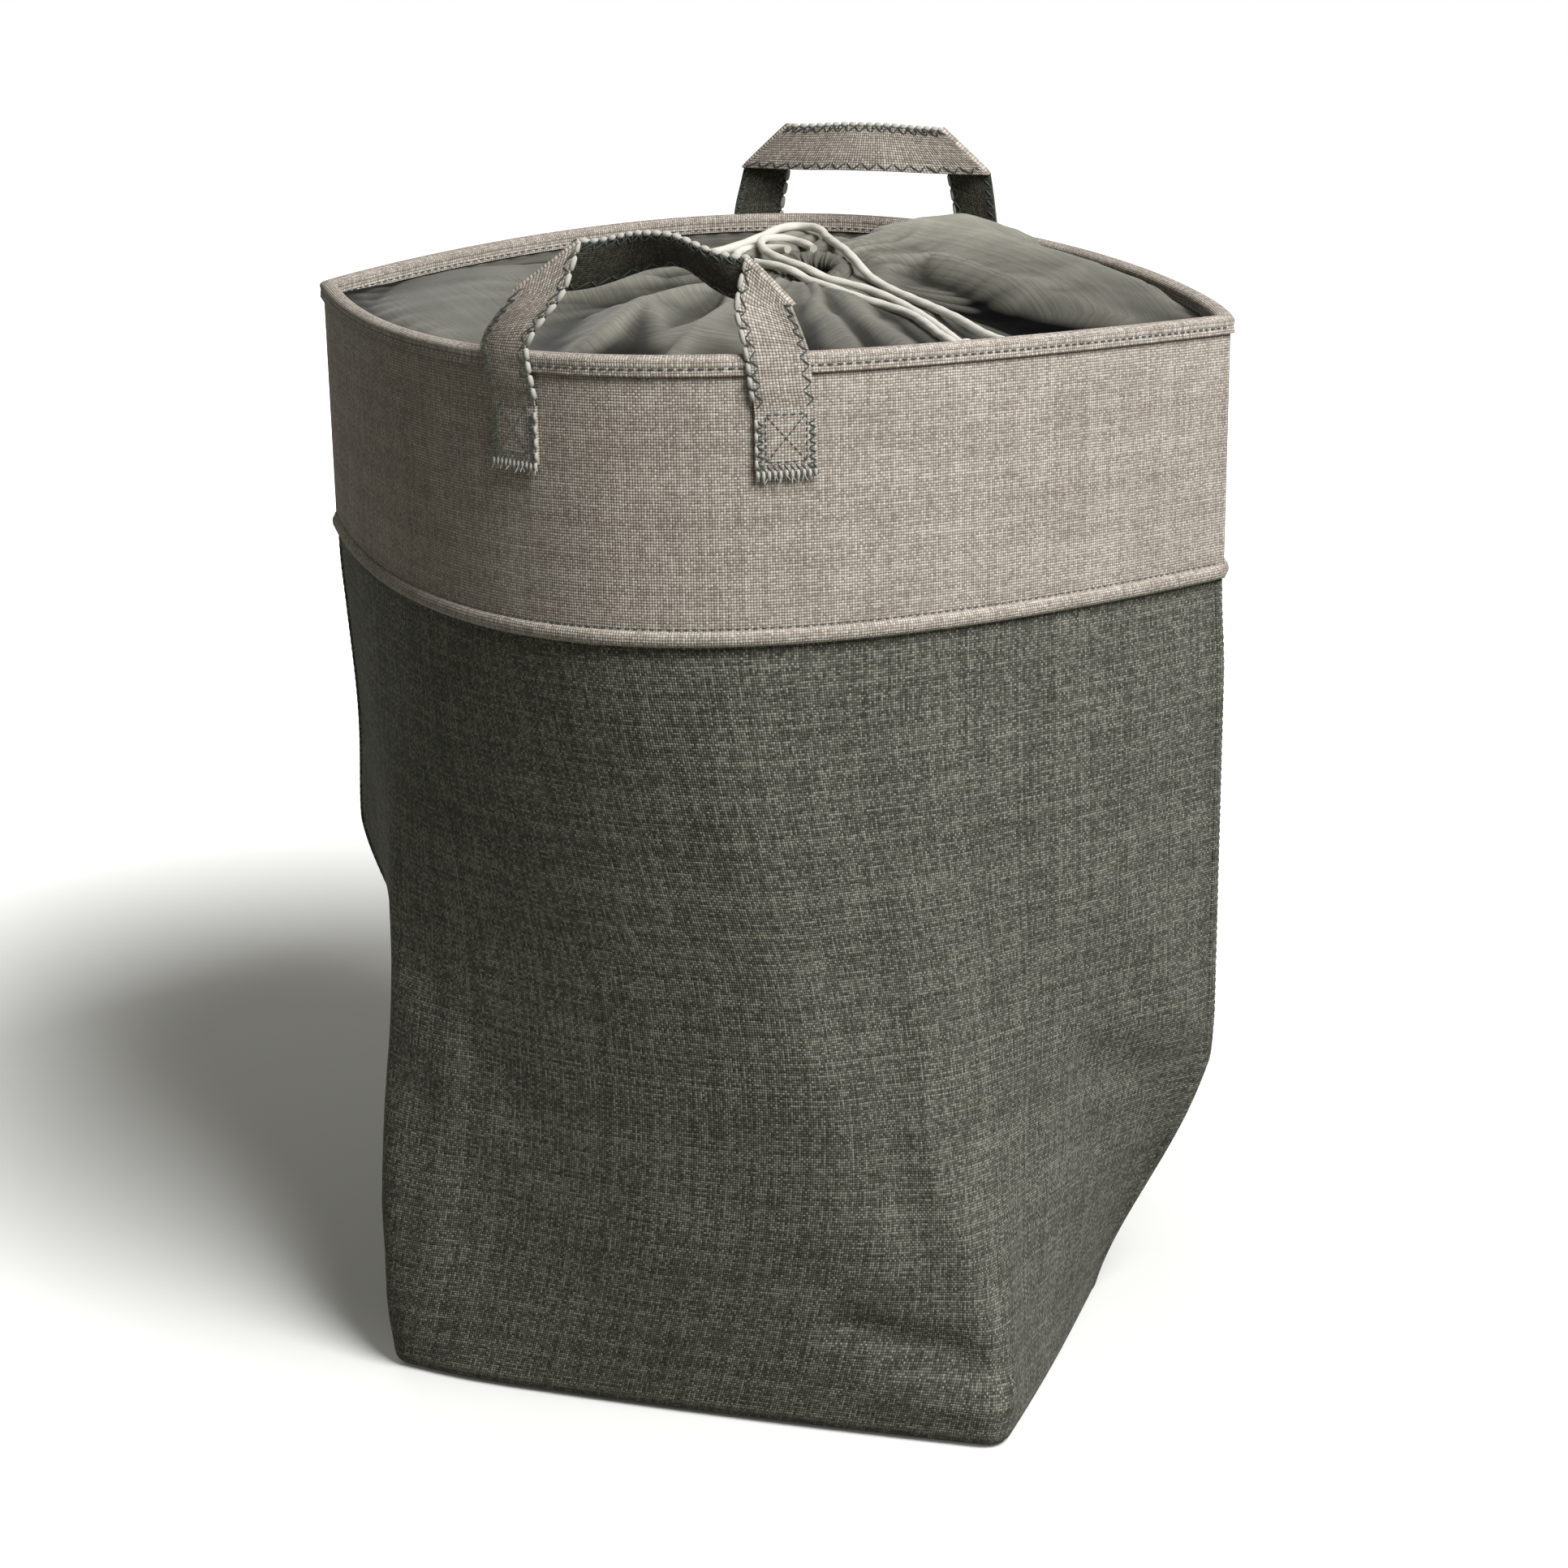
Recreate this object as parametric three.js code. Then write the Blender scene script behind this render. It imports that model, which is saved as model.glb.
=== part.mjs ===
// Pop-up laundry hamper: a woven sack that opens from a flat base board to a lens-shaped sprung rim.
// The frame is millimetres, +Z up, origin on the floor under the middle of the base,
// X from side seam to side seam and -Y towards the front panel.

import * as THREE from 'three';

// Overall sizes
const rimHeight = 550;
const rimWidth = 480;
const rimFrontDepth = 216;
const rimRearDepth = 204;
const rimTipDip = 11;
const rimTwist = 5.5;
const baseWidth = 340;
const baseFrontDepth = 178;
const baseRearDepth = 164;
const baseShift = 4;
const bandHeight = 135;
const leftGussetHeight = 245;
const rightGussetHeight = 152;

// Cloth, board and sewing sizes
const bodyCloth = 2;
const bandCloth = 1.5;
const bandStiffening = 2;
const linerCloth = 1;
const seatGap = 0.3;
const bodyRecess = 1.5;
const footRoll = 8;
const boardThickness = 3;

// Handles: strap width, spacing of the two legs, and how far the loop stands over the rim
const strapWidth = 25;
const strapPly = 1;
const legSpacing = 127;
const legRise = 27;
const tabHeight = 34;
const tabDrop = 60;

// How the outline of the wall changes from the base to the rim
const baseCornerRadius = 17;
const sideSwell = 6;
const frontSwell = 3;
const frontFullnessShare = 1;
const rearFullnessShare = 0.8;
const tipMitreShare = 1.14;
const middleShare = 0.5;

// Side seams: the strip of pressed cloth down each seam
const seamStripWidth = 9;
const seamStripCloth = 1.2;
const seamPressGap = 0.8;

// Every wall, lining and rim piece is drawn with the same number of steps along a panel
const PANEL_STEPS = 26;
const FRONT = -1;
const REAR = 1;

// Materials by name, with colour, roughness and metalness
const finishes = {
  body_cloth: [0x4f524c, 0.92, 0],
  band_cloth: [0xa59b90, 0.9, 0],
  liner_satin: [0x74766c, 0.55, 0],
  strap_webbing: [0x55554b, 0.85, 0],
  cotton_cord: [0xe6e1d6, 0.85, 0],
  stiff_board: [0x8c7a63, 0.9, 0],
  foam_sheet: [0xd8d6cf, 0.9, 0],
  spring_steel: [0x9a9da0, 0.35, 1],
};

const hamper = new THREE.Group();

function addPiece(name, finish, geometry) {
  const [color, roughness, metalness] = finishes[finish];
  const material = new THREE.MeshStandardMaterial({ color, roughness, metalness });
  const piece = new THREE.Mesh(geometry, material);
  piece.name = name;
  hamper.add(piece);
  return piece;
}

// A closed solid from corner points and triangles, turned so that its faces point out
function closedSolid(corners, triangles) {
  let sixVolumes = 0;
  const normal = new THREE.Vector3();
  for (const [a, b, c] of triangles) {
    sixVolumes += corners[a].dot(normal.crossVectors(corners[b], corners[c]));
  }
  const order = sixVolumes < 0 ? triangles.map(([a, b, c]) => [a, c, b]) : triangles;
  const geometry = new THREE.BufferGeometry().setFromPoints(corners);
  geometry.setIndex(order.flat());
  geometry.computeVertexNormals();
  return geometry;
}

// A skin over a row of like rings of points. It closes on itself, or has an end cap at each end.
// The second half of a ring is the sheet's other face and is split the same way as the first.
// A cap is split like a ladder, from each point of the one face to its like on the other.
function skinRings(rings, capped) {
  const around = rings[0].length;
  const corners = rings.flat();
  const triangles = [];
  const spans = capped ? rings.length - 1 : rings.length;
  for (let i = 0; i < spans; i += 1) {
    const here = i * around;
    const next = ((i + 1) % rings.length) * around;
    for (let k = 0; k < around; k += 1) {
      const k2 = (k + 1) % around;
      if (k < around / 2) {
        triangles.push([here + k, next + k, next + k2], [here + k, next + k2, here + k2]);
      } else {
        triangles.push([here + k, next + k, here + k2], [next + k, next + k2, here + k2]);
      }
    }
  }
  if (capped) {
    const last = (rings.length - 1) * around;
    for (let k = 0; k < around / 2 - 1; k += 1) {
      const k2 = k + 1;
      const m = around - 1 - k;
      const m2 = m - 1;
      triangles.push([k, k2, m2], [k, m2, m]);
      triangles.push([last + k, last + m2, last + k2], [last + k, last + m, last + m2]);
    }
  }
  return closedSolid(corners, triangles);
}

// How far a panel stands out from the line between the tips, at a share of the half width.
// An inset moves it inwards, for the inner face of the cloth and for the layers behind it.
function rimReach(side, acrossShare, inset) {
  const depth = side === FRONT ? rimFrontDepth : rimRearDepth;
  const fullness = side === FRONT ? frontFullnessShare : rearFullnessShare;
  const open = Math.max(0, 1 - acrossShare * acrossShare);
  return (depth - inset) * open ** fullness;
}

// How far the rim stands off its level: it dips at the tips, and is twisted a little
// so that the front is low at the left and the rear is high there
function rimRise(side, acrossShare) {
  const twist = -side * rimTwist * acrossShare * (1 - acrossShare ** 2);
  return twist - rimTipDip * acrossShare ** 2;
}

// The lens-shaped outline of one panel at the rim, from the left tip to the right tip
class RimOutline extends THREE.Curve {
  constructor(side) {
    super();
    this.side = side;
  }

  getPoint(t, target = new THREE.Vector3()) {
    const acrossShare = -Math.cos(Math.PI * t);
    return target.set(acrossShare * rimWidth / 2, this.side * rimReach(this.side, acrossShare, 0), 0);
  }
}

// The outline of one panel at the floor: half of a square with rounded corners, swelling a little
// at the side seams and along the front. The base stands a little to the right of the mouth.
function makeBaseOutline(side) {
  const halfWidth = baseWidth / 2;
  const halfDepth = side === FRONT ? baseFrontDepth : baseRearDepth;
  const corner = baseCornerRadius;
  const at = (x, y) => new THREE.Vector3(x + baseShift, side * y, 0);
  const leftSeam = at(-halfWidth - sideSwell, 0);
  const leftSwell = at(-halfWidth - sideSwell, halfDepth / 2);
  const leftSide = at(-halfWidth, halfDepth - corner);
  const leftFace = at(corner - halfWidth, halfDepth);
  const faceSwell = at(0, halfDepth + 2 * frontSwell);
  const rightFace = at(halfWidth - corner, halfDepth);
  const rightSide = at(halfWidth, halfDepth - corner);
  const rightSwell = at(halfWidth + sideSwell, halfDepth / 2);
  const rightSeam = at(halfWidth + sideSwell, 0);
  const outline = new THREE.CurvePath();
  outline.add(new THREE.QuadraticBezierCurve3(leftSeam, leftSwell, leftSide));
  outline.add(new THREE.QuadraticBezierCurve3(leftSide, at(-halfWidth, halfDepth), leftFace));
  outline.add(new THREE.QuadraticBezierCurve3(leftFace, faceSwell, rightFace));
  outline.add(new THREE.QuadraticBezierCurve3(rightFace, at(halfWidth, halfDepth), rightSide));
  outline.add(new THREE.QuadraticBezierCurve3(rightSide, rightSwell, rightSeam));
  return outline;
}

const outlines = new Map([FRONT, REAR].map((side) => (
  [side, { base: makeBaseOutline(side), rim: new RimOutline(side) }]
)));

// A point of the wall: share 0 is the left seam and 1 the right seam. The cloth keeps its length,
// so a point holds its share of the panel while the outline changes from square to lens.
// Near the seams the change is done at the top of the gusset, at mid-panel below the band.
function wallPoint(side, share, inset, height) {
  const { base, rim } = outlines.get(side);
  const acrossShare = 2 * rim.getPointAt(share).x / rimWidth;
  const rimX = acrossShare * (rimWidth / 2 - inset * tipMitreShare);
  const rimPoint = new THREE.Vector3(rimX, side * rimReach(side, acrossShare, inset), 0);
  const along = base.getTangent(share);
  const inwards = new THREE.Vector3(side * along.y, -side * along.x, 0);
  const fromMiddle = Math.abs(2 * share - 1);
  const gussetHeight = share < middleShare ? leftGussetHeight : rightGussetHeight;
  const riseHeight = THREE.MathUtils.lerp(rimHeight - bandHeight, gussetHeight, fromMiddle ** 2);
  const climbed = Math.min(1, height / riseHeight);
  const rise = (climbed + THREE.MathUtils.smoothstep(climbed, 0, 1)) / 2;
  const point = base.getPoint(share).addScaledVector(inwards, inset).lerp(rimPoint, rise);
  point.z = height + rimRise(side, acrossShare) * (height / rimHeight);
  return point;
}

// The shares along a panel at which its rings of corners stand, with one at the edge of each seam strip
const panelLength = rimWidth + rimFrontDepth;
const clearShare = seatGap / panelLength;
const stripShare = seamStripWidth / 2 / panelLength;
const panelShares = [clearShare, stripShare];
for (let i = 1; i < PANEL_STEPS; i += 1) {
  panelShares.push(i / PANEL_STEPS);
}
panelShares.push(1 - stripShare, 1 - clearShare);
const ringShares = [0, ...panelShares.slice(1, -1)];

// One panel of a layer: a closed profile of [inset, height] points carried from seam to seam
function panelLayer(side, profile) {
  const rings = panelShares.map((share) => (
    profile.map(([inset, height]) => wallPoint(side, share, inset, height))
  ));
  return skinRings(rings, true);
}

// A row of wall points right round both panels, from the left seam by the front
function wallRound(inset, height) {
  const front = ringShares.map((share) => wallPoint(FRONT, share, inset, height));
  const rear = ringShares.map((share) => wallPoint(REAR, 1 - share, inset, height));
  return [...front, ...rear];
}

// A closed hoop of a layer: the same profile carried round both panels
function ringLayer(profile) {
  const rounds = profile.map(([inset, height]) => wallRound(inset, height));
  return skinRings(rounds[0].map((_, i) => rounds.map((round) => round[i])), false);
}

// Heights of the rows of corners between two ends
function levels(bottom, top, steps) {
  return Array.from({ length: steps + 1 }, (_, i) => THREE.MathUtils.lerp(bottom, top, i / steps));
}

// The profile of a flat layer between two insets, with a row of corners at each height
function layerProfile(outer, inner, heights) {
  const up = heights.map((height) => [outer, height]);
  const down = heights.map((height) => [inner, height]).reverse();
  return [...up, ...down];
}

// The insets of the layers, from the outside in. The band's outer face is the zero.
const bandBottom = rimHeight - bandHeight;
const stiffenerOuter = bandCloth + seatGap;
const stiffenerInner = stiffenerOuter + bandStiffening;
const upperLinerOuter = stiffenerInner + seatGap;
const upperLinerInner = upperLinerOuter + linerCloth;
const bodyInner = bodyRecess + bodyCloth;
const lowerLinerOuter = bodyInner + seatGap;
const lowerLinerInner = lowerLinerOuter + linerCloth;

// Body panels: dark woven cloth. The foot of each rolls under and meets the base panel.
const FOOT_STEPS = 3;
const BODY_STEPS = 9;
const bodyLevels = levels(footRoll, bandBottom - seatGap, BODY_STEPS);

function footArc(radius) {
  const arc = [];
  for (let i = 0; i < FOOT_STEPS; i += 1) {
    const turn = (Math.PI / 2) * (i / FOOT_STEPS);
    arc.push([bodyRecess + footRoll - radius * Math.sin(turn), footRoll - radius * Math.cos(turn)]);
  }
  return arc;
}

function bodyProfile() {
  const outer = bodyLevels.map((height) => [bodyRecess, height]);
  const inner = bodyLevels.map((height) => [bodyInner, height]);
  return [...footArc(footRoll), ...outer, ...inner.reverse(), ...footArc(footRoll - bodyCloth).reverse()];
}

addPiece('body_front_panel', 'body_cloth', panelLayer(FRONT, bodyProfile()));
addPiece('body_rear_panel', 'body_cloth', panelLayer(REAR, bodyProfile()));

// Side seams of the body: the two panels' edges, folded out flat and edge-stitched into a narrow strip
const seamInner = bodyRecess - seamPressGap;
const seamOuter = seamInner - seamStripCloth;

function seamStrip(seam) {
  const beside = Math.abs(seam - stripShare);
  const rings = bodyLevels.map((height) => [
    wallPoint(FRONT, beside, seamOuter, height),
    wallPoint(FRONT, seam, seamOuter, height),
    wallPoint(REAR, beside, seamOuter, height),
    wallPoint(REAR, beside, seamInner, height),
    wallPoint(FRONT, seam, seamInner, height),
    wallPoint(FRONT, beside, seamInner, height),
  ]);
  return skinRings(rings, true);
}

addPiece('left_side_seam', 'body_cloth', seamStrip(0));
addPiece('right_side_seam', 'body_cloth', seamStrip(1));

// Base: the woven base panel on the floor, the stiff board on it, and the lining sewn over the board
function basePlate(inset, bottom, thickness) {
  const plan = new THREE.Shape();
  plan.setFromPoints(wallRound(inset, bottom).map((point) => new THREE.Vector2(point.x, point.y)));
  const plate = new THREE.ExtrudeGeometry(plan, { depth: thickness, bevelEnabled: false });
  return plate.translate(0, 0, bottom);
}

const baseCloth = bodyCloth;
const boardInset = bodyRecess + footRoll + seatGap;
const boardBottom = baseCloth + seatGap;
const baseLinerBottom = boardBottom + boardThickness + seatGap;
const linerFoot = baseLinerBottom + linerCloth + 2 * seatGap;

addPiece('base_panel', 'body_cloth', basePlate(boardInset, 0, baseCloth));
addPiece('base_board', 'stiff_board', basePlate(boardInset, boardBottom, boardThickness));
addPiece('base_liner', 'liner_satin', basePlate(lowerLinerInner, baseLinerBottom, linerCloth));

// Linings: satin, one pair of panels behind the body and one behind the band
const lowerLiner = layerProfile(lowerLinerOuter, lowerLinerInner, [linerFoot, ...bodyLevels.slice(1)]);

addPiece('lower_liner_front', 'liner_satin', panelLayer(FRONT, lowerLiner));
addPiece('lower_liner_rear', 'liner_satin', panelLayer(REAR, lowerLiner));

// Band: light woven cloth outside, a foam stiffener, and the upper lining inside
const bindingCloth = 1.5;
const bindingHeight = 9;
const hoopRadius = 1.5;
const ferruleWall = 0.7;
const hoopHeight = rimHeight - bindingCloth - hoopRadius - ferruleWall - 2 * seatGap;
const stackTop = hoopHeight - hoopRadius - ferruleWall - 2 * seatGap;
const BAND_STEPS = 2;
const bandLevels = levels(bandBottom, stackTop, BAND_STEPS);
const bandProfile = layerProfile(0, bandCloth, bandLevels);
const stiffenerProfile = layerProfile(stiffenerOuter, stiffenerInner, bandLevels);
const upperLiner = layerProfile(upperLinerOuter, upperLinerInner, bandLevels);

addPiece('band_front', 'band_cloth', panelLayer(FRONT, bandProfile));
addPiece('band_rear', 'band_cloth', panelLayer(REAR, bandProfile));
addPiece('band_stiffener_front', 'foam_sheet', panelLayer(FRONT, stiffenerProfile));
addPiece('band_stiffener_rear', 'foam_sheet', panelLayer(REAR, stiffenerProfile));
addPiece('upper_liner_front', 'liner_satin', panelLayer(FRONT, upperLiner));
addPiece('upper_liner_rear', 'liner_satin', panelLayer(REAR, upperLiner));

// The rolled welt along the lower edge of the band: a half-round roll on the band's face
const weltHeight = 7.5;
const weltProud = 2.6;
const WELT_STEPS = 5;

function weltProfile() {
  const profile = [];
  for (let i = 0; i <= WELT_STEPS; i += 1) {
    const turn = Math.PI * (i / WELT_STEPS);
    const height = bandBottom + (weltHeight / 2) * (1 - Math.cos(turn));
    profile.push([-seatGap - weltProud * Math.sin(turn), height]);
  }
  return profile;
}

addPiece('band_welt', 'band_cloth', ringLayer(weltProfile()));

// Rim binding: a folded strip over the top edge of band, stiffener and lining, with the sprung hoop inside.
// Its round top is a half ellipse, and its two legs reach down over the stack.
const BINDING_STEPS = 4;
const bindingOuter = -seatGap - bindingCloth;
const bindingInner = upperLinerInner + seatGap + bindingCloth;

function bindingArch(outer, inner, crown, rise) {
  const arch = [];
  for (let i = 0; i <= BINDING_STEPS; i += 1) {
    const turn = Math.PI * (i / BINDING_STEPS);
    const inset = (outer + inner) / 2 - ((inner - outer) / 2) * Math.cos(turn);
    arch.push([inset, crown - rise * (1 - Math.sin(turn))]);
  }
  return arch;
}

function bindingProfile() {
  const bottom = rimHeight - bindingHeight;
  const rise = hoopRadius + bindingCloth;
  const outside = bindingArch(bindingOuter, bindingInner, rimHeight, rise);
  const underside = bindingArch(bindingOuter + bindingCloth, bindingInner - bindingCloth,
    rimHeight - bindingCloth, hoopRadius);
  return [
    [bindingOuter, bottom],
    ...outside,
    [bindingInner, bottom],
    [bindingInner - bindingCloth, bottom],
    ...underside.reverse(),
    [bindingOuter + bindingCloth, bottom],
  ];
}

addPiece('rim_binding', 'band_cloth', ringLayer(bindingProfile()));

// The sprung hoop: round wire in the binding, its ends joined by a ferrule at the back
const HOOP_SIDES = 6;
const hoopInset = (bindingOuter + bindingInner) / 2;

function hoopProfile() {
  const profile = [];
  for (let i = 0; i < HOOP_SIDES; i += 1) {
    const turn = 2 * Math.PI * (i / HOOP_SIDES);
    profile.push([hoopInset + hoopRadius * Math.cos(turn), hoopHeight + hoopRadius * Math.sin(turn)]);
  }
  return profile;
}

addPiece('rim_hoop', 'spring_steel', ringLayer(hoopProfile()));

function hoopFerrule() {
  const start = wallPoint(REAR, 1 / 2, hoopInset, hoopHeight);
  const end = wallPoint(REAR, 1 / 2 + 1 / PANEL_STEPS, hoopInset, hoopHeight);
  const lengthShare = 0.6;
  const length = start.distanceTo(end) * lengthShare;
  const sleeve = new THREE.Shape();
  sleeve.absarc(0, 0, hoopRadius + seatGap + ferruleWall, 0, 2 * Math.PI, false);
  const bore = new THREE.Path();
  bore.absarc(0, 0, hoopRadius + seatGap, 0, 2 * Math.PI, true);
  sleeve.holes.push(bore);
  const tube = new THREE.ExtrudeGeometry(sleeve, { depth: length, bevelEnabled: false, curveSegments: 6 });
  tube.translate(0, 0, -length / 2);
  const along = end.clone().sub(start).normalize();
  tube.applyQuaternion(new THREE.Quaternion().setFromUnitVectors(new THREE.Vector3(0, 0, 1), along));
  const middle = start.add(end).multiplyScalar(1 / 2);
  return tube.translate(middle.x, middle.y, middle.z);
}

addPiece('hoop_ferrule', 'spring_steel', hoopFerrule());

// Drawstring cover: satin sewn to the lining below the binding and gathered to a small mouth.
// The mouth is tilted towards the front, with small gathers all round it.
const coverDrop = 18;
const coverCloth = 1.6;
const coverSwell = 7;
const gatherRise = 3;
const neckRise = 7;
const mouthX = 10;
const mouthY = 52;
const mouthRadius = 13;
const mouthTilt = THREE.MathUtils.degToRad(12);
const casingRadius = 5.5;
const COVER_RINGS = 8;
const COVER_GATHERS = 12;
const NECK_SHARPNESS = 5;
const coverSeat = rimHeight - coverDrop;
const mouthHeight = coverSeat + coverSwell / 2 + neckRise;

// The cover's main folds: direction from the mouth in degrees from +X, rise, and narrowness.
// Two puffs stand at the back, three ridges run to the front, and one hollow lies at the right.
const coverFolds = [
  [47, 12, 8], [110, 8, 6], [231, 9, 40], [260, 6, 60], [287, 6, 60], [330, -5, 12],
];

// The cover's height over its straight slope, at a turn round the mouth and a share of the way to it.
// Most of the rise to the mouth comes close to it, as a short neck.
function coverRelief(turn, inShare) {
  const crown = Math.sin(Math.PI * inShare);
  const neck = neckRise * (inShare ** NECK_SHARPNESS - inShare);
  let relief = neck + coverSwell * crown + gatherRise * crown * inShare * Math.cos(COVER_GATHERS * turn);
  for (const [direction, rise, narrowness] of coverFolds) {
    const facing = Math.max(0, Math.cos(turn - THREE.MathUtils.degToRad(direction)));
    relief += rise * crown * facing ** narrowness;
  }
  return relief;
}

// A point by the tilted mouth, at a turn round it, a distance out and a height over its plane
function mouthPoint(turn, out, height) {
  const point = new THREE.Vector3(out * Math.cos(turn), out * Math.sin(turn), height);
  point.applyAxisAngle(new THREE.Vector3(1, 0, 0), mouthTilt);
  return point.add(new THREE.Vector3(mouthX, mouthY, mouthHeight));
}

function gatheredCover() {
  const edge = wallRound(upperLinerInner + seatGap, coverSeat);
  const reach = mouthRadius + 2 * casingRadius + seatGap;
  const rings = edge.map((edgePoint) => {
    const turn = Math.atan2(edgePoint.y - mouthY, edgePoint.x - mouthX);
    const lip = mouthPoint(turn, reach, 0);
    const top = [];
    const underside = [];
    for (let k = 0; k <= COVER_RINGS; k += 1) {
      const inShare = k / COVER_RINGS;
      const point = edgePoint.clone().lerp(lip, inShare);
      point.z += coverRelief(turn, inShare);
      top.push(point);
      underside.unshift(point.clone().setZ(point.z - coverCloth));
    }
    return [...top, ...underside];
  });
  return skinRings(rings, false);
}

addPiece('drawstring_cover', 'liner_satin', gatheredCover());

// The casing: the hem that the cord runs in, drawn up into a puckered ring round the mouth.
// It is a cloth tube with a slit along its underside.
const CASING_STEPS = 28;
const CASING_SIDES = 6;
const CASING_PUCKERS = 14;
const puckerShare = 0.1;
const slitHalfTurn = THREE.MathUtils.degToRad(32);
const cordRadius = 2.2;
const casingInnerRadius = casingRadius - coverCloth;

// A ring of corners round the mouth, at a turn, from distances and rolls about the casing's middle
function casingRing(turn, corners) {
  return corners.map(([radius, roll]) => {
    const out = mouthRadius + casingRadius + radius * Math.cos(roll);
    return mouthPoint(turn, out, radius * Math.sin(roll) - coverCloth / 2);
  });
}

function puckeredCasing() {
  const rings = [];
  for (let i = 0; i < CASING_STEPS; i += 1) {
    const turn = 2 * Math.PI * (i / CASING_STEPS);
    const pucker = casingRadius * puckerShare * Math.cos(CASING_PUCKERS * turn);
    const outside = [];
    const inside = [];
    for (let k = 0; k <= CASING_SIDES; k += 1) {
      const sweep = 2 * (Math.PI - slitHalfTurn) * (k / CASING_SIDES);
      const roll = slitHalfTurn - Math.PI / 2 + sweep;
      outside.push([casingRadius + Math.min(0, pucker), roll]);
      inside.unshift([casingInnerRadius + Math.min(0, pucker), roll]);
    }
    rings.push(casingRing(turn, [...outside, ...inside]));
  }
  return skinRings(rings, false);
}

addPiece('drawstring_casing', 'liner_satin', puckeredCasing());

// Drawstring: cotton cord. Its middle runs round in the casing, and its two tails come out
// at the back of the mouth, lie over the gathered cover and end in knots.
const CORD_SIDES = 8;
const stepDiameters = 2.5;
const knotRadius = 4.6;
const knotLength = 10;

function roundSection(radius) {
  const section = new THREE.Shape();
  section.absarc(0, 0, radius, 0, 2 * Math.PI, false);
  return section;
}

function cordInCasing() {
  const section = Array.from({ length: CORD_SIDES }, (_, k) => [cordRadius, 2 * Math.PI * (k / CORD_SIDES)]);
  const rings = [];
  for (let i = 0; i < CASING_STEPS; i += 1) {
    rings.push(casingRing(2 * Math.PI * (i / CASING_STEPS), section));
  }
  return skinRings(rings, false);
}

addPiece('cord_in_casing', 'cotton_cord', cordInCasing());

const shortTailRoute = [
  [6, 79, 551], [-2, 88, 552], [-9, 93, 552.5], [-16, 93.5, 553.5], [-22, 89, 554], [-23, 80, 554],
  [-18, 68, 551.5], [-9, 56, 550.5], [2, 47, 549], [14, 38.5, 547.5], [26, 32, 544],
  [38, 27, 542.5], [52, 20, 541], [68, 8, 539], [90, -16, 537], [122, -65, 538],
];
const longTailRoute = [
  [-7, 75, 551], [-14, 81, 550], [-22, 83, 549.5], [-29, 80, 549.5], [-33, 73, 549],
  [-32, 65, 548], [-26, 57, 547.5], [-16, 49.5, 547.5], [-5, 41.5, 548], [7, 33.5, 547],
  [19, 26, 543.5], [30, 18, 542.5], [54, 2, 539.5], [67, -5, 538], [82, -18, 537],
  [97, -42, 537], [110, -66, 536.5], [120, -83, 536.5], [129, -98, 536], [139, -107, 536],
  [150, -108, 535.5], [158, -100, 535.5], [155, -87, 535.5], [131, -57, 535.5], [108, -21, 536],
  [92, -2, 537], [76, 14, 538.5], [60, 29, 540.5], [46, 43, 544], [36, 55, 549], [27, 68, 552],
  [17, 84, 553], [7, 102, 553.5], [0, 114, 555], [-7, 121, 555.5], [-15, 122, 555.5],
  [-22, 115, 555.5], [-29, 98, 553], [-38, 78, 550.5], [-51, 58, 548.5],
];

function cordRoute(points) {
  return new THREE.CatmullRomCurve3(points.map((point) => new THREE.Vector3(...point)));
}

function cordTail(route) {
  const steps = Math.round(route.getLength() / (stepDiameters * 2 * cordRadius));
  const section = roundSection(cordRadius);
  const curveSegments = CORD_SIDES / 2;
  return new THREE.ExtrudeGeometry(section, { steps, curveSegments, bevelEnabled: false, extrudePath: route });
}

// A knot in line with the end of its tail: a rounded lump, turned about the cord's direction
function cordKnot(route) {
  const outline = new THREE.Path();
  outline.moveTo(0, 0);
  outline.lineTo(cordRadius, 0);
  outline.quadraticCurveTo(knotRadius, 0, knotRadius, knotLength / 2);
  outline.quadraticCurveTo(knotRadius, knotLength, cordRadius, knotLength);
  outline.lineTo(0, knotLength);
  const knot = new THREE.LatheGeometry(outline.getPoints(3), CORD_SIDES);
  const along = route.getTangent(1);
  knot.applyQuaternion(new THREE.Quaternion().setFromUnitVectors(new THREE.Vector3(0, 1, 0), along));
  const start = route.getPoint(1).addScaledVector(along, seatGap);
  return knot.translate(start.x, start.y, start.z);
}

const shortTail = cordRoute(shortTailRoute);
const longTail = cordRoute(longTailRoute);
addPiece('cord_tail_short', 'cotton_cord', cordTail(shortTail));
addPiece('cord_tail_long', 'cotton_cord', cordTail(longTail));
addPiece('cord_knot_short', 'cotton_cord', cordKnot(shortTail));
addPiece('cord_knot_long', 'cotton_cord', cordKnot(longTail));

// Handles: a flat strap of band cloth on webbing. Its legs are sewn to the band,
// and at each top corner it is folded over inwards at 45 degrees, so the run shows its other side.
const strapThickness = 2 * strapPly + seatGap;
const strapSeat = 0.6;
const bindingStand = bindingCloth + seatGap;
const bindingStepUp = 4;
const cornerRoll = 3;
const handleLeanShare = 0.12;
const LEG_ROWS = 3;
const ROLL_ROWS = 6;
const RUN_ROWS = 6;
const handles = [
  { name: 'front', side: FRONT, shift: 8.5, runTilt: THREE.MathUtils.degToRad(38) },
  { name: 'rear', side: REAR, shift: 3, runTilt: THREE.MathUtils.degToRad(12) },
];

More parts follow.
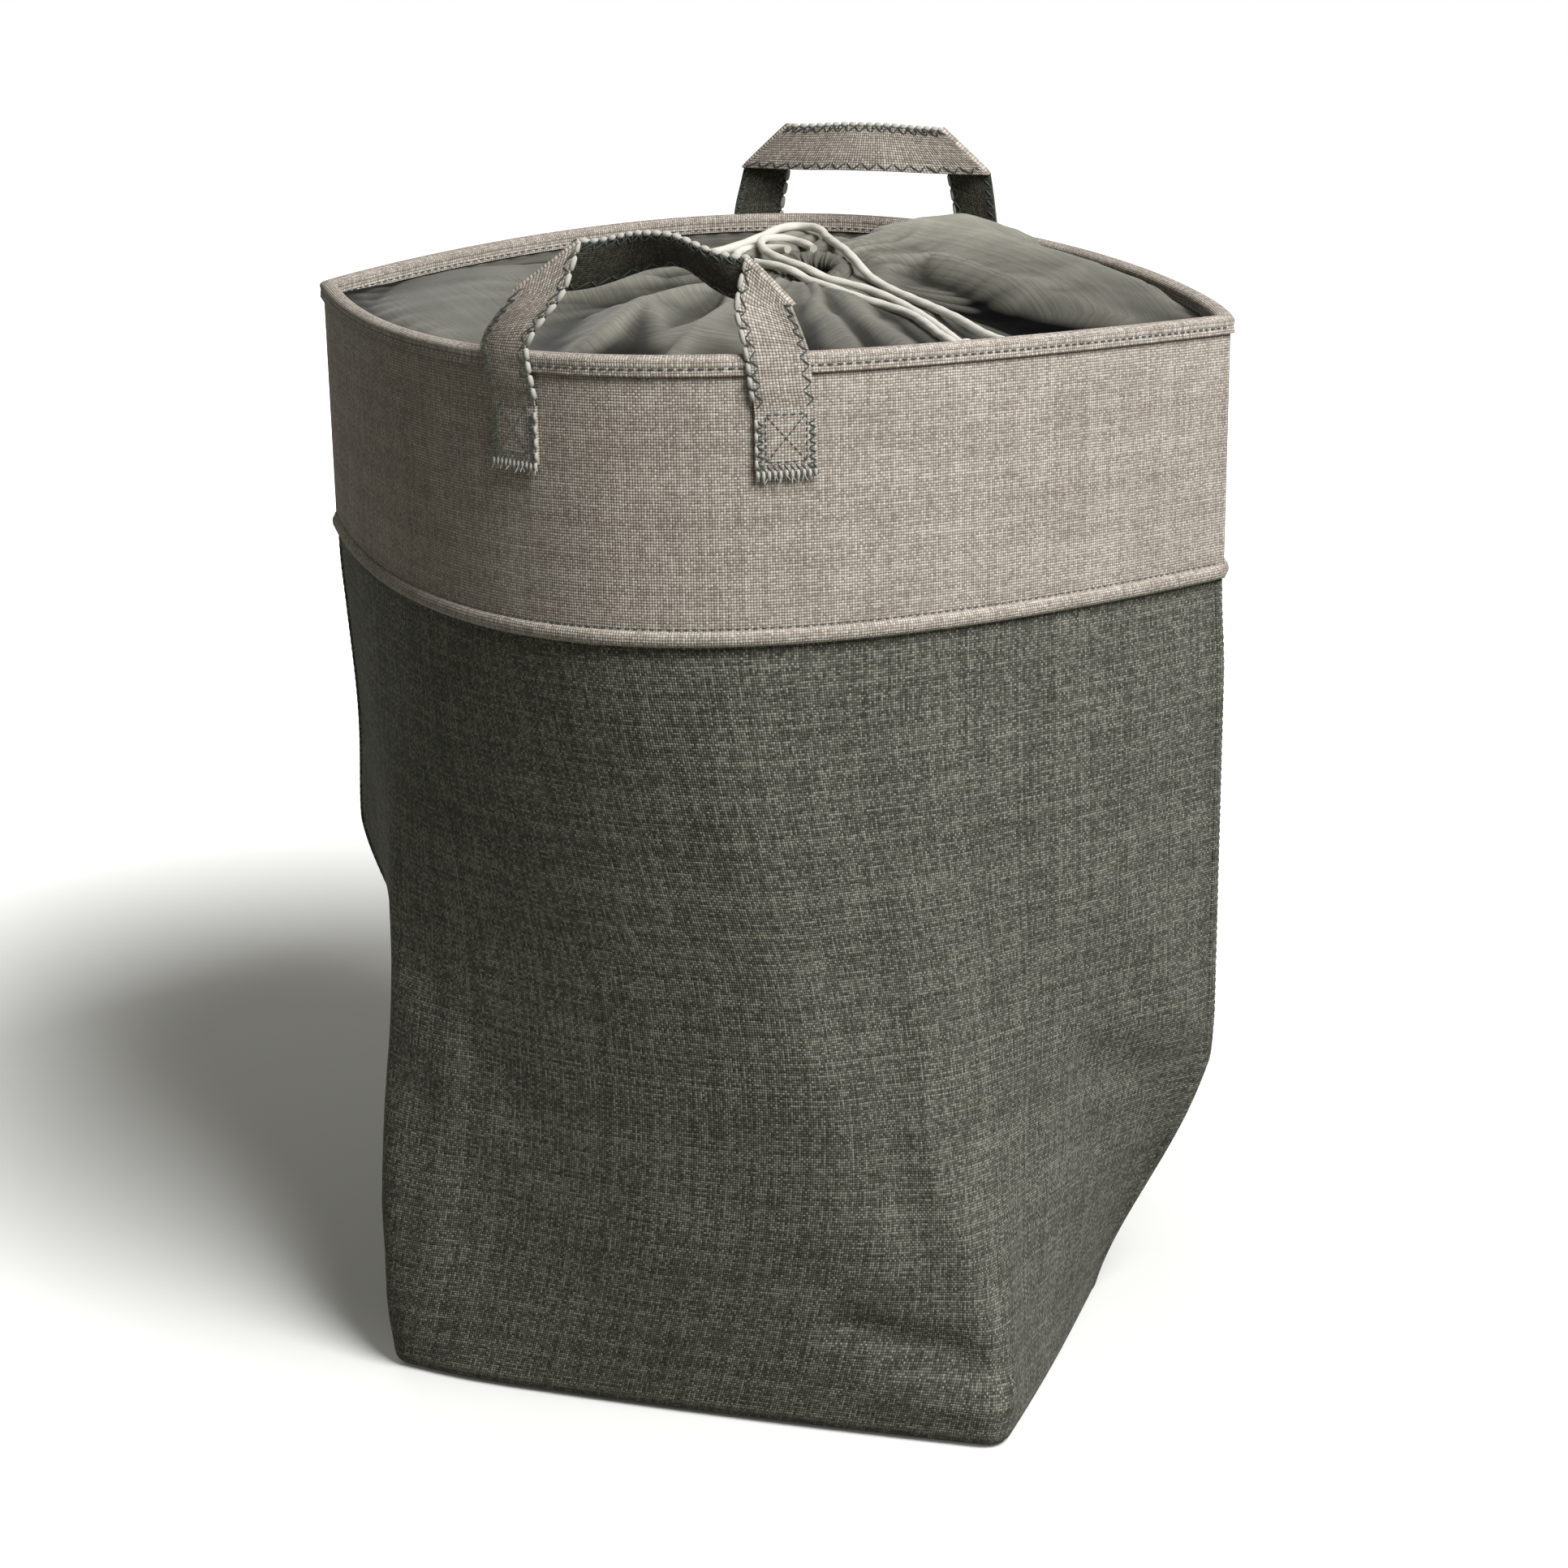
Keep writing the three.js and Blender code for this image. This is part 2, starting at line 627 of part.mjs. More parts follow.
// Distance of the strap's middle surface from the tip line where it lies on the band at x
function strapReach(handle, x, stand) {
  const reachAt = (place) => rimReach(handle.side, 2 * place / rimWidth, 0);
  const slope = (reachAt(x + strapWidth / 2) - reachAt(x - strapWidth / 2)) / strapWidth;
  return reachAt(x) + (stand + strapSeat + strapThickness / 2) * Math.hypot(1, slope);
}

// A row of three points across the strap, from its outer edge to its inner edge, on one leg
function legRow(handle, end, outerHeight, innerHeight, freeShare, stand) {
  return [0, 1 / 2, 1].map((acrossShare) => {
    const offset = legSpacing / 2 + strapWidth * (1 / 2 - acrossShare);
    const x = handle.shift + end * offset;
    const height = THREE.MathUtils.lerp(outerHeight, innerHeight, acrossShare);
    const seated = strapReach(handle, x, stand);
    const free = handlePlane(handle, x, height);
    return new THREE.Vector3(x, handle.side * THREE.MathUtils.lerp(seated, free, freeShare), height);
  });
}

// The plane of the free part of the loop: it joins the two legs and leans in over the rim
function handlePlane(handle, x, height) {
  const leftReach = strapReach(handle, handle.shift - legSpacing / 2, bindingStand);
  const rightReach = strapReach(handle, handle.shift + legSpacing / 2, bindingStand);
  const acrossShare = (x - handle.shift) / legSpacing + 1 / 2;
  return THREE.MathUtils.lerp(leftReach, rightReach, acrossShare) - handleLeanShare * (height - rimHeight);
}

// Half of the loop, from the foot of one leg up to the middle of the top run
function halfLoop(handle, end) {
  const rows = [];
  const legFoot = rimHeight - tabDrop + tabHeight + seatGap;
  const bindingFoot = rimHeight - bindingHeight - bindingStepUp;
  const cornerHeight = rimHeight + legRise;
  rows.push(legRow(handle, end, legFoot, legFoot, 0, 0));
  rows.push(legRow(handle, end, bindingFoot, bindingFoot, 0, bindingStand));
  rows.push(legRow(handle, end, rimHeight, rimHeight, 0, bindingStand));
  for (let i = 1; i <= LEG_ROWS; i += 1) {
    const climbed = i / LEG_ROWS;
    const outerHeight = THREE.MathUtils.lerp(rimHeight, cornerHeight, climbed);
    const innerHeight = THREE.MathUtils.lerp(rimHeight, cornerHeight + strapWidth, climbed);
    rows.push(legRow(handle, end, outerHeight, innerHeight, climbed, bindingStand));
  }
  const crease = rows[rows.length - 1];
  for (let i = 1; i <= ROLL_ROWS; i += 1) {
    const turn = Math.PI * (i / ROLL_ROWS);
    const bulge = cornerRoll * Math.sin(turn) * Math.SQRT1_2;
    const inward = cornerRoll * (1 - Math.cos(turn));
    rows.push(crease.map((point) => new THREE.Vector3(
      point.x + end * bulge,
      point.y - handle.side * inward,
      point.z + bulge,
    )));
  }
  for (let i = 1; i <= RUN_ROWS; i += 1) {
    const along = i / RUN_ROWS;
    const tilt = handle.runTilt * THREE.MathUtils.smoothstep(along, 0, 1);
    rows.push([0, 1 / 2, 1].map((upShare) => {
      const offset = legSpacing / 2 + strapWidth * (1 / 2 - upShare);
      const down = strapWidth * (1 - upShare);
      const top = cornerHeight + strapWidth;
      const x = handle.shift + end * offset * (1 - along);
      const reach = handlePlane(handle, x, top) - 2 * cornerRoll;
      const lean = handleLeanShare * down * (1 - along);
      return new THREE.Vector3(
        x,
        handle.side * (reach - down * Math.sin(tilt) + lean),
        top - down * Math.cos(tilt),
      );
    }));
  }
  return rows;
}

// One ply of a strap: the rows thickened between two distances from the middle surface
function strapPlySolid(rows, facing, near, far) {
  const rings = rows.map((row, i) => {
    const before = rows[Math.max(0, i - 1)];
    const after = rows[Math.min(rows.length - 1, i + 1)];
    const travel = after[1].clone().sub(before[1]);
    const across = row[2].clone().sub(row[0]);
    const out = across.cross(travel).normalize().multiplyScalar(facing);
    const nearRow = row.map((point) => point.clone().addScaledVector(out, near));
    const farRow = row.map((point) => point.clone().addScaledVector(out, far));
    return [...nearRow, ...farRow.reverse()];
  });
  return skinRings(rings, true);
}

function addHandle(handle) {
  const left = halfLoop(handle, -1);
  const right = halfLoop(handle, 1).reverse().slice(1);
  const rows = [...left, ...right];
  const outwards = -handle.side;
  const plyGap = seatGap / 2;
  const cloth = strapPlySolid(rows, outwards, plyGap, plyGap + strapPly);
  const webbing = strapPlySolid(rows, outwards, -plyGap - strapPly, -plyGap);
  addPiece(`${handle.name}_handle_cloth`, 'band_cloth', cloth);
  addPiece(`${handle.name}_handle_webbing`, 'strap_webbing', webbing);
}

// The sewn ends of the strap: flat on the band's face below each leg
function addTab(handle, end, name) {
  const bottom = rimHeight - tabDrop;
  const rows = [bottom, bottom + tabHeight].map((height) => legRow(handle, end, height, height, 0, 0));
  const half = strapThickness / 2;
  addPiece(name, 'band_cloth', strapPlySolid(rows, -handle.side, -half, half));
}

for (const handle of handles) {
  addHandle(handle);
  addTab(handle, -1, `${handle.name}_left_tab`);
  addTab(handle, 1, `${handle.name}_right_tab`);
}

export default hamper;
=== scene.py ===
# Pop-up laundry hamper: a woven sack with a stiff base, a light rim band, two folded strap handles,
# and a drawstring cover gathered over its mouth. Metres, +Z up, -Y towards the front.

import math

import bpy
import numpy as np
from mathutils import Matrix, Vector


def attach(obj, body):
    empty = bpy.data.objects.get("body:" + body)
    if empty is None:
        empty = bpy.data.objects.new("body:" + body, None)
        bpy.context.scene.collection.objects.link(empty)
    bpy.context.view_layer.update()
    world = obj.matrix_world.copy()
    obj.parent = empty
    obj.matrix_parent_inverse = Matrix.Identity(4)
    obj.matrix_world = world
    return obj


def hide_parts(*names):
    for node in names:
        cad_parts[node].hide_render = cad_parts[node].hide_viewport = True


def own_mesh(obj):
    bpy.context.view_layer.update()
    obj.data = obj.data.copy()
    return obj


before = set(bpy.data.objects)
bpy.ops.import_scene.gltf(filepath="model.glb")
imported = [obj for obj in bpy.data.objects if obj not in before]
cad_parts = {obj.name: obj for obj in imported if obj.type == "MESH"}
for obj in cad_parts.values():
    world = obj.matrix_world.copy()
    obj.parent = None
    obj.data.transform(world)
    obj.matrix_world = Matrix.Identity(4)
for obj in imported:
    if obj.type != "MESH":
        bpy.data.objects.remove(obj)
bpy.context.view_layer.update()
scene = bpy.context.scene


# Camera: in front of the hamper, a little to its right, looking down on its mouth. Through it the
# rim, the side seams and the corners of the base lie where the photo has them.
camera_eye = Vector((0.4970, -1.6239, 0.8393))
camera_turn = math.radians(16.72)
camera_rise = math.radians(18.26)
camera_roll = math.radians(-0.84)
camera_lens = 77.36
camera_sensor = 36
camera_far = 50

sight = Vector((-math.sin(camera_turn) * math.cos(camera_rise),
                math.cos(camera_turn) * math.cos(camera_rise),
                -math.sin(camera_rise)))
level = sight.cross(Vector((0, 0, 1))).normalized()
upright = level.cross(sight)
camera_x = math.cos(camera_roll) * level + math.sin(camera_roll) * upright
camera_y = math.cos(camera_roll) * upright - math.sin(camera_roll) * level
camera = bpy.data.objects.new("camera", bpy.data.cameras.new("camera"))
camera.data.lens = camera_lens
camera.data.sensor_width = camera_sensor
camera.data.clip_end = camera_far
camera.matrix_world = (Matrix.Translation(camera_eye)
                       @ Matrix((camera_x, camera_y, -sight)).transposed().to_4x4())
scene.collection.objects.link(camera)
scene.camera = camera
scene.view_settings.view_transform = "Standard"


# Floor and light: a white studio floor that runs back into a white backdrop, with one softbox
# high at the right and front, a weak one low behind, and a pale sky. Away from the hamper's
# shadow the floor glows, so that it burns out to white as in the photo.
floor_reach = 6.0
shadow_middle = (-0.14, 0.15, 0)
shadow_reach = (0.42, 0.30, 1)
shadow_turn = math.radians(146.8)
glow_from, glow_to = 0.8, 2.3
sky_strength = 0.105


def node(tree, kind, inputs=None, give=None, **settings):
    """Adds a shader node, whose inputs are values or nodes' outputs. Gives an output or the node."""
    made = tree.nodes.new(kind if kind.startswith("NodeGroup") else "ShaderNode" + kind)
    for name, value in settings.items():
        setattr(made, name, value)
    for name, value in (inputs or {}).items():
        if isinstance(value, bpy.types.NodeSocket):
            tree.links.new(value, made.inputs[name])
        else:
            made.inputs[name].default_value = value
    return made if give is None else made.outputs[give]


def calc(tree, operation, *terms):
    return node(tree, "Math", dict(enumerate(terms)), 0, operation=operation)


def bounced_or_seen(tree, output, bounced, seen):
    """One shader where light bounces, another where the camera, a reflection or clear glass looks."""
    path = node(tree, "LightPath").outputs
    mirrored = calc(tree, "MAXIMUM", path["Is Glossy Ray"], path["Is Transmission Ray"])
    looked_at = calc(tree, "MAXIMUM", path["Is Camera Ray"], mirrored)
    mixed = node(tree, "MixShader", {"Fac": looked_at, 1: bounced, 2: seen}, 0)
    node(tree, output, {"Surface": mixed})


floor_material = bpy.data.materials.new("studio_white")
floor_material.use_nodes = True
floor_tree = floor_material.node_tree
floor_tree.nodes.clear()
floor_place = node(floor_tree, "NewGeometry", give="Position")
floor_along = node(floor_tree, "Mapping", {"Vector": floor_place, "Location": shadow_middle,
                                           "Rotation": (0, 0, shadow_turn), "Scale": shadow_reach}, 0,
                   vector_type="TEXTURE")
floor_away = node(floor_tree, "VectorMath", {0: floor_along}, "Value", operation="LENGTH")
floor_glow = node(floor_tree, "MapRange", {"Value": floor_away, "From Min": glow_from,
                                           "From Max": glow_to}, 0, interpolation_type="SMOOTHSTEP")
floor_shown = node(floor_tree, "BsdfDiffuse", {"Color": (0.93, 0.93, 0.915, 1)}, 0)
floor_bright = node(floor_tree, "Emission", {"Color": (1, 1, 1, 1), "Strength": floor_glow}, 0)
floor_both = node(floor_tree, "AddShader", {0: floor_shown, 1: floor_bright}, 0)
floor_bounce = node(floor_tree, "BsdfDiffuse", {"Color": (0.24, 0.236, 0.21, 1)}, 0)
bounced_or_seen(floor_tree, "OutputMaterial", floor_bounce, floor_both)
floor_mesh = bpy.data.meshes.new("floor")
floor_corners = [(x * floor_reach, y * floor_reach, 0) for x, y in ((-1, -1), (1, -1), (1, 1), (-1, 1))]
floor_mesh.from_pydata(floor_corners, [], [(0, 1, 2, 3)])
floor_mesh.materials.append(floor_material)
floor = bpy.data.objects.new("floor", floor_mesh)
scene.collection.objects.link(floor)

sky = bpy.data.worlds.new("studio")
sky.use_nodes = True
sky_tree = sky.node_tree
sky_tree.nodes.clear()
sky_light = node(sky_tree, "Background", {"Color": (1.0, 0.985, 0.82, 1), "Strength": sky_strength}, 0)
sky_white = node(sky_tree, "Background", {"Color": (1, 1, 1, 1), "Strength": 1.0}, 0)
bounced_or_seen(sky_tree, "OutputWorld", sky_light, sky_white)
scene.world = sky

for name, place, aim, width, power in (("key_softbox", (1.84, -1.10, 2.66), (0, 0, 0.3), 1.5, 141),
                                       ("rear_softbox", (-1.7, 2.6, 1.0), (0, 0, 0.35), 1.8, 24)):
    lamp = bpy.data.lights.new(name, "AREA")
    lamp.shape = "SQUARE"
    lamp.size = width
    lamp.energy = power
    holder = bpy.data.objects.new(name, lamp)
    holder.location = place
    holder.rotation_euler = (Vector(aim) - Vector(place)).to_track_quat("-Z", "Y").to_euler()
    scene.collection.objects.link(holder)


# The sack's shape: a rounded square of cloth at the floor, standing a little to the right, and a lens
# at the rim. The cloth keeps its own length round the sack, so each thread climbs straight up.
FRONT, REAR = -1, 1
rim_height = 0.550
rim_half_width = 0.240
rim_depth = {FRONT: 0.216, REAR: 0.204}
rim_fullness = {FRONT: 1.0, REAR: 0.8}
rim_tip_dip = 0.011
rim_twist = 0.0055
tip_mitre = 1.14
base_half_width = 0.170
base_depth = {FRONT: 0.178, REAR: 0.164}
base_shift = 0.004
base_corner = 0.017
side_swell = 0.006
front_swell = 0.003
band_height = 0.135
left_gusset_height = 0.245
right_gusset_height = 0.152
seam_strip = 0.009
seat_gap = 0.0003
panel_length = 0.696


def run_along(line):
    """The run from the first point of a line to each of its points."""
    return np.concatenate([[0], np.cumsum(np.linalg.norm(np.diff(line, axis=0), axis=1))])


def base_outline(side, steps=400):
    """Half of the base outline, from the left seam to the right one, as if at the rear."""
    half, depth = base_half_width, base_depth[side]
    flat, near, out = half - base_corner, depth - base_corner, half + side_swell
    spans = [
        ((-out, 0), (-out, depth / 2), (-half, near)),
        ((-half, near), (-half, depth), (-flat, depth)),
        ((-flat, depth), (0, depth + 2 * front_swell), (flat, depth)),
        ((flat, depth), (half, depth), (half, near)),
        ((half, near), (out, depth / 2), (out, 0)),
    ]
    t = np.linspace(0, 1, steps)[:, None]
    line = np.zeros((0, 2))
    for start, pull, end in np.array(spans):
        bend = (1 - t) ** 2 * start + 2 * t * (1 - t) * pull + t ** 2 * end
        line = np.concatenate([line[:-1], bend])
    line = line + np.array([base_shift, 0])
    return line, run_along(line) / run_along(line)[-1]


def rim_outline(side, steps=4000):
    across = -np.cos(np.linspace(0, math.pi, steps))
    depth = rim_depth[side] * (1 - across ** 2).clip(0) ** rim_fullness[side]
    run = run_along(np.stack([across * rim_half_width, depth], axis=1))
    return across, run / run[-1]


base_lines = {side: base_outline(side) for side in (FRONT, REAR)}
rim_lines = {side: rim_outline(side) for side in (FRONT, REAR)}


def smooth_step(x):
    x = np.clip(x, 0, 1)
    return x * x * (3 - 2 * x)


def bump(x, middle, width):
    return np.exp(-((x - middle) / width) ** 2)


# The soft folds of the standing cloth, each along a line on a panel: side, run from the left seam and
# height of its two ends, half width, and how far it stands out (all millimetres). Then, in metres, how
# the left seam sags in at its middle heights, how the right one swells, and how the corners lean.
wall_folds = [
    (FRONT, (516, 24), (462, 160), 15, 2.4),
    (FRONT, (536, 85), (526, 205), 26, -1.6),
    (FRONT, (484, 58), (436, 135), 24, -3.6),
    (FRONT, (466, 100), (420, 225), 48, -2.6),
    (FRONT, (424, 60), (508, 41), 11, -4.8),
    (FRONT, (448, 25), (516, 20), 12, 2.8),
    (FRONT, (560, 40), (548, 150), 26, -2.4),
    (FRONT, (600, 196), (684, 166), 12, 2.0),
    (FRONT, (606, 172), (684, 138), 12, -1.8),
    (FRONT, (152, 205), (232, 122), 15, 1.4),
    (FRONT, (166, 228), (250, 142), 17, -1.4),
    (FRONT, (172, 95), (168, 185), 24, 3.0),
    (FRONT, (192, 12), (190, 210), 11, 1.6),
    (FRONT, (232, 20), (226, 120), 24, -2.2),
    (FRONT, (330, 330), (372, 240), 75, -2.0),
    (FRONT, (300, 200), (310, 60), 34, 1.6),
    (FRONT, (600, 360), (585, 250), 38, 1.4),
    (REAR, (522, 16), (500, 190), 18, 2.6),
    (REAR, (470, 60), (440, 200), 38, -3.6),
    (REAR, (176, 16), (196, 210), 16, 2.6),
    (REAR, (238, 50), (262, 180), 34, -3.2),
    (REAR, (210, 62), (290, 48), 10, -2.6),
    (REAR, (330, 320), (390, 210), 70, -2.2),
    (REAR, (80, 240), (160, 190), 14, 2.2),
    (REAR, (600, 180), (520, 130), 14, 2.0),
]
side_sag = [(0.305, 0.066, 0.0056), (0.190, 0.040, 0.0103)]
right_swell = 0.0022
corner_lean = {FRONT: 0.45, REAR: 0.0}
corner_spread = {FRONT: 0.68, REAR: 0.30}
lean_height = 0.25
foot_tuck = 0.0060
corner_share = {FRONT: 0.256, REAR: 0.243}
cloth_drift = 0.0006
dents_end = 0.405
sag_ends = 0.412


def wall_dent(side, share, height):
    """How far the cloth stands out of its plain shape at a place of the wall."""
    run, up = share * panel_length * 1000, height * 1000
    total = np.zeros(np.broadcast(share, height).shape)
    for where, start, end, half_width, depth in wall_folds:
        if where == side:
            along = np.array(end, float) - start
            place = ((run - start[0]) * along[0] + (up - start[1]) * along[1]) / along.dot(along)
            place = place.clip(0, 1)
            away = np.hypot(run - start[0] - place * along[0], up - start[1] - place * along[1])
            total = total + depth / 1000 * bump(away, 0, half_width)
    drift = (np.sin(23.0 * share + 9.0 * height + side) * np.sin(31.0 * height + 6.0 * share)
             + 0.6 * np.sin(41.0 * share - 17.0 * height + 2.0))
    fade = smooth_step(height / 0.03) * smooth_step((dents_end - height) / 0.06)
    seam_fade = smooth_step(np.minimum(share, 1 - share) / 0.05)
    sag = sum(depth * bump(height, middle, reach) for middle, reach, depth in side_sag)
    sag = sag * smooth_step((sag_ends - height) / 0.04)
    swell = right_swell * smooth_step((sag_ends - height) / 0.05) * smooth_step((height - 0.13) / 0.05)
    tuck = foot_tuck * bump(share, corner_share[side], 0.05) * bump(height, 0, 0.024)
    return ((total + cloth_drift * drift) * fade * seam_fade - sag * bump(share, 0, 0.15)
            + swell * bump(share, 1, 0.12) - tuck)


def wall(side, share, inset, height):
    """Points of the wall at shares along a panel, insets from its outer face, and heights."""
    share, inset, height = np.broadcast_arrays(np.asarray(share, float), np.asarray(inset, float),
                                               np.asarray(height, float))
    across_table, rim_shares = rim_lines[side]
    across = np.interp(share, rim_shares, across_table)
    depth = (rim_depth[side] - inset) * (1 - across ** 2).clip(0) ** rim_fullness[side]
    rim_x = across * (rim_half_width - inset * tip_mitre)
    base_line, base_shares = base_lines[side]
    lean = np.minimum(height, lean_height) * 4 * share * (1 - share)
    turned = share + corner_lean[side] * lean
    spread = corner_spread[side] * lean * smooth_step((share - 0.45) / 0.2)
    step = 0.0004
    low, high = np.clip(turned - step, 0, 1), np.clip(turned + step, 0, 1)
    here, run = [0, 0], [0, 0]
    for apart in (-1, -0.6, -0.2, 0.2, 0.6, 1):
        for k in (0, 1):
            middle, before, after = (np.interp(at + apart * spread, base_shares, base_line[:, k]) / 6
                                     for at in (turned, low, high))
            here[k] = here[k] + middle
            run[k] = run[k] + after - before
    length = np.hypot(*run)
    out = np.stack([-run[1] / length, run[0] / length], axis=-1)
    base_x = here[0] - inset * out[..., 0]
    base_y = here[1] - inset * out[..., 1]
    from_middle = np.abs(2 * share - 1)
    gusset_height = np.where(share < 0.5, left_gusset_height, right_gusset_height)
    band_line = rim_height - band_height
    change_height = band_line + (gusset_height - band_line) * from_middle ** 2
    climbed = np.clip(height / change_height, 0, 1)
    rise = (climbed + smooth_step(climbed)) / 2
    push = wall_dent(side, share, height)
    x = base_x + (rim_x - base_x) * rise + push * out[..., 0]
    y = base_y + (depth - base_y) * rise + push * out[..., 1]
    twist = -side * rim_twist * across * (1 - across ** 2)
    z = height + (twist - rim_tip_dip * across ** 2) * height / rim_height
    return np.stack([x, side * y, z], axis=-1)


def cells(grid):
    """The four corners of each cell of a grid, all turning the same way."""
    around = [grid[:-1, :-1], grid[:-1, 1:], grid[1:, 1:], grid[1:, :-1]]
    return np.stack(around, axis=2).reshape(-1, 4, *grid.shape[2:])


def add_piece(name, points, faces, material, corners=None, sharp=None):
    """A smooth-shaded mesh. Corners are the places along the threads of its faces' first corners."""
    mesh = bpy.data.meshes.new(name)
    mesh.from_pydata(points.reshape(-1, 3).tolist(), [], faces)
    if corners is not None:
        flat = np.zeros((len(mesh.loops), 3), np.float32)
        flat[:corners[..., 0].size, :corners.shape[-1]] = corners.reshape(-1, corners.shape[-1])
        mesh.attributes.new("threads", "FLOAT_VECTOR", "CORNER").data.foreach_set("vector", flat.ravel())
    mesh.polygons.foreach_set("use_smooth", [True] * len(mesh.polygons))
    if sharp:
        mesh.set_sharp_from_angle(angle=math.radians(sharp))
    mesh.materials.append(material)
    piece = bpy.data.objects.new(name, mesh)
    scene.collection.objects.link(piece)
    return piece


def skin(name, outer, inner, threads, material, closed=False, sharp=50):
    """A closed cloth skin between two grids of points, with each corner's place along the threads.
    Grids are [row, column]; a closed one joins its last column to its first."""
    rows, columns = outer.shape[:2]
    count = rows * columns
    grid = np.arange(count).reshape(rows, columns)
    if closed:
        grid = np.concatenate([grid, grid[:, :1]], axis=1)
        if threads.shape[1] == columns:
            threads = np.concatenate([threads, 2 * threads[:, -1:] - threads[:, -2:-1]], axis=1)
    both = np.stack([grid, grid + count])
    twice = np.stack([threads, threads])
    sheets = [(both[0], threads, 1), (both[1], threads, -1),
              (both[:, 0], twice[:, 0], -1), (both[:, -1], twice[:, -1], 1)]
    if not closed:
        sheets += [(both[:, :, 0], twice[:, :, 0], 1), (both[:, :, -1], twice[:, :, -1], -1)]
    faces = np.concatenate([cells(sheet)[:, ::turn] for sheet, _, turn in sheets])
    corners = np.concatenate([cells(laid)[:, ::turn] for _, laid, turn in sheets])
    points = np.concatenate([outer.reshape(-1, 3), inner.reshape(-1, 3)])
    a, b, c, d = points[faces].transpose(1, 0, 2)
    if np.einsum("ij,ij->", a, np.cross(b, c) + np.cross(c, d)) < 0:
        faces, corners = faces[:, ::-1], corners[:, ::-1]
    return add_piece(name, points, faces.tolist(), material, corners, sharp)


def thread_grid(columns, rows):
    return np.stack(np.meshgrid(columns, rows), axis=-1)


# Cloth for the body: a plain weave of dark and lighter yarns, which gives it a heathered, matt face.
# The weave itself is one node group, and the band's lighter linen look and the cord use it too.
def cloth_group(name, **values):
    """A group for a cloth's face: its inputs, and the places along the threads in pitches."""
    tree = bpy.data.node_groups.new(name, "ShaderNodeTree")
    tree.interface.new_socket("Threads", in_out="INPUT", socket_type="NodeSocketVector")
    for label, value in values.items():
        socket = tree.interface.new_socket(label, in_out="INPUT", socket_type="NodeSocketFloat")
        socket.default_value = value
    for label in ("Height", "Tone", "Cloud"):
        tree.interface.new_socket(label, in_out="OUTPUT", socket_type="NodeSocketFloat")
    given = node(tree, "NodeGroupInput").outputs
    pitch = node(tree, "CombineXYZ", {0: given["Pitch"], 1: given["Pitch"], 2: 1.0}, 0)
    places = node(tree, "VectorMath", {0: given["Threads"], 1: pitch}, 0, operation="DIVIDE")
    return tree, given, places


def rib(tree, along):
    """The round backs of yarns that lie side by side."""
    return calc(tree, "ABSOLUTE", calc(tree, "SINE", calc(tree, "MULTIPLY", along, math.pi)))


def weave_group():
    """Plain weave: over and under yarns, each with its own tone and slubs, and a tone at each crossing."""
    tree, given, places = cloth_group("plain_weave", Pitch=0.0013, Waver=0.3, Streak=12.0)
    waver = node(tree, "TexNoise", {"Vector": places, "Scale": 0.21, "Detail": 1.0}, "Color")
    centred = node(tree, "VectorMath", {0: waver, 1: (0.5, 0.5, 0.5)}, 0, operation="SUBTRACT")
    pushed = node(tree, "VectorMath", {0: centred, "Scale": given["Waver"]}, 0, operation="SCALE")
    moved = node(tree, "VectorMath", {0: places, 1: pushed}, 0, operation="ADD")
    split = node(tree, "SeparateXYZ", {0: moved}).outputs
    cell = node(tree, "VectorMath", {0: moved}, 0, operation="FLOOR")
    knot = node(tree, "TexWhiteNoise", {"Vector": cell}, "Value", noise_dimensions="2D")
    crowns, tones = [], []
    for first, second, seed in ((split[0], split[1], 3.7), (split[1], split[0], 41.3)):
        crowns.append(rib(tree, first))
        yarn = calc(tree, "ADD", calc(tree, "FLOOR", first), seed)
        own = node(tree, "TexWhiteNoise", {"W": yarn}, "Value", noise_dimensions="1D")
        run = node(tree, "CombineXYZ", {0: calc(tree, "MULTIPLY", yarn, 7.31),
                                        1: calc(tree, "DIVIDE", second, given["Streak"]), 2: seed}, 0)
        slub = node(tree, "TexNoise", {"Vector": run, "Scale": 1.0, "Detail": 2.0, "Roughness": 0.6}, 0)
        plain = calc(tree, "MULTIPLY_ADD", own, 0.22, calc(tree, "MULTIPLY", slub, 0.50))
        tones.append(calc(tree, "MULTIPLY_ADD", knot, 0.28, plain))
    crossing = calc(tree, "ADD", calc(tree, "FLOOR", split[0]), calc(tree, "FLOOR", split[1]))
    over = calc(tree, "GREATER_THAN", calc(tree, "ABSOLUTE", calc(tree, "MODULO", crossing, 2.0)), 0.5)
    heights = [calc(tree, "MULTIPLY", crowns[top], calc(tree, "MULTIPLY_ADD", crowns[1 - top], 0.6, 0.4))
               for top in (0, 1)]
    node(tree, "NodeGroupOutput", {
        "Height": node(tree, "Mix", {0: over, 2: heights[0], 3: heights[1]}, 0),
        "Tone": node(tree, "Mix", {0: over, 2: tones[0], 3: tones[1]}, 0),
        "Cloud": node(tree, "TexNoise", {"Vector": places, "Scale": 0.045, "Detail": 3.0}, 0)})
    return tree


plain_weave = weave_group()


def fresh_material(name, **constants):
    """A material with constants on its shader, by the sockets' names with _ for a space."""
    material = bpy.data.materials.new(name)
    material.use_nodes = True
    shader = material.node_tree.nodes["Principled BSDF"]
    for label, value in constants.items():
        shader.inputs[label.replace("_", " ")].default_value = value
    return material, material.node_tree, shader


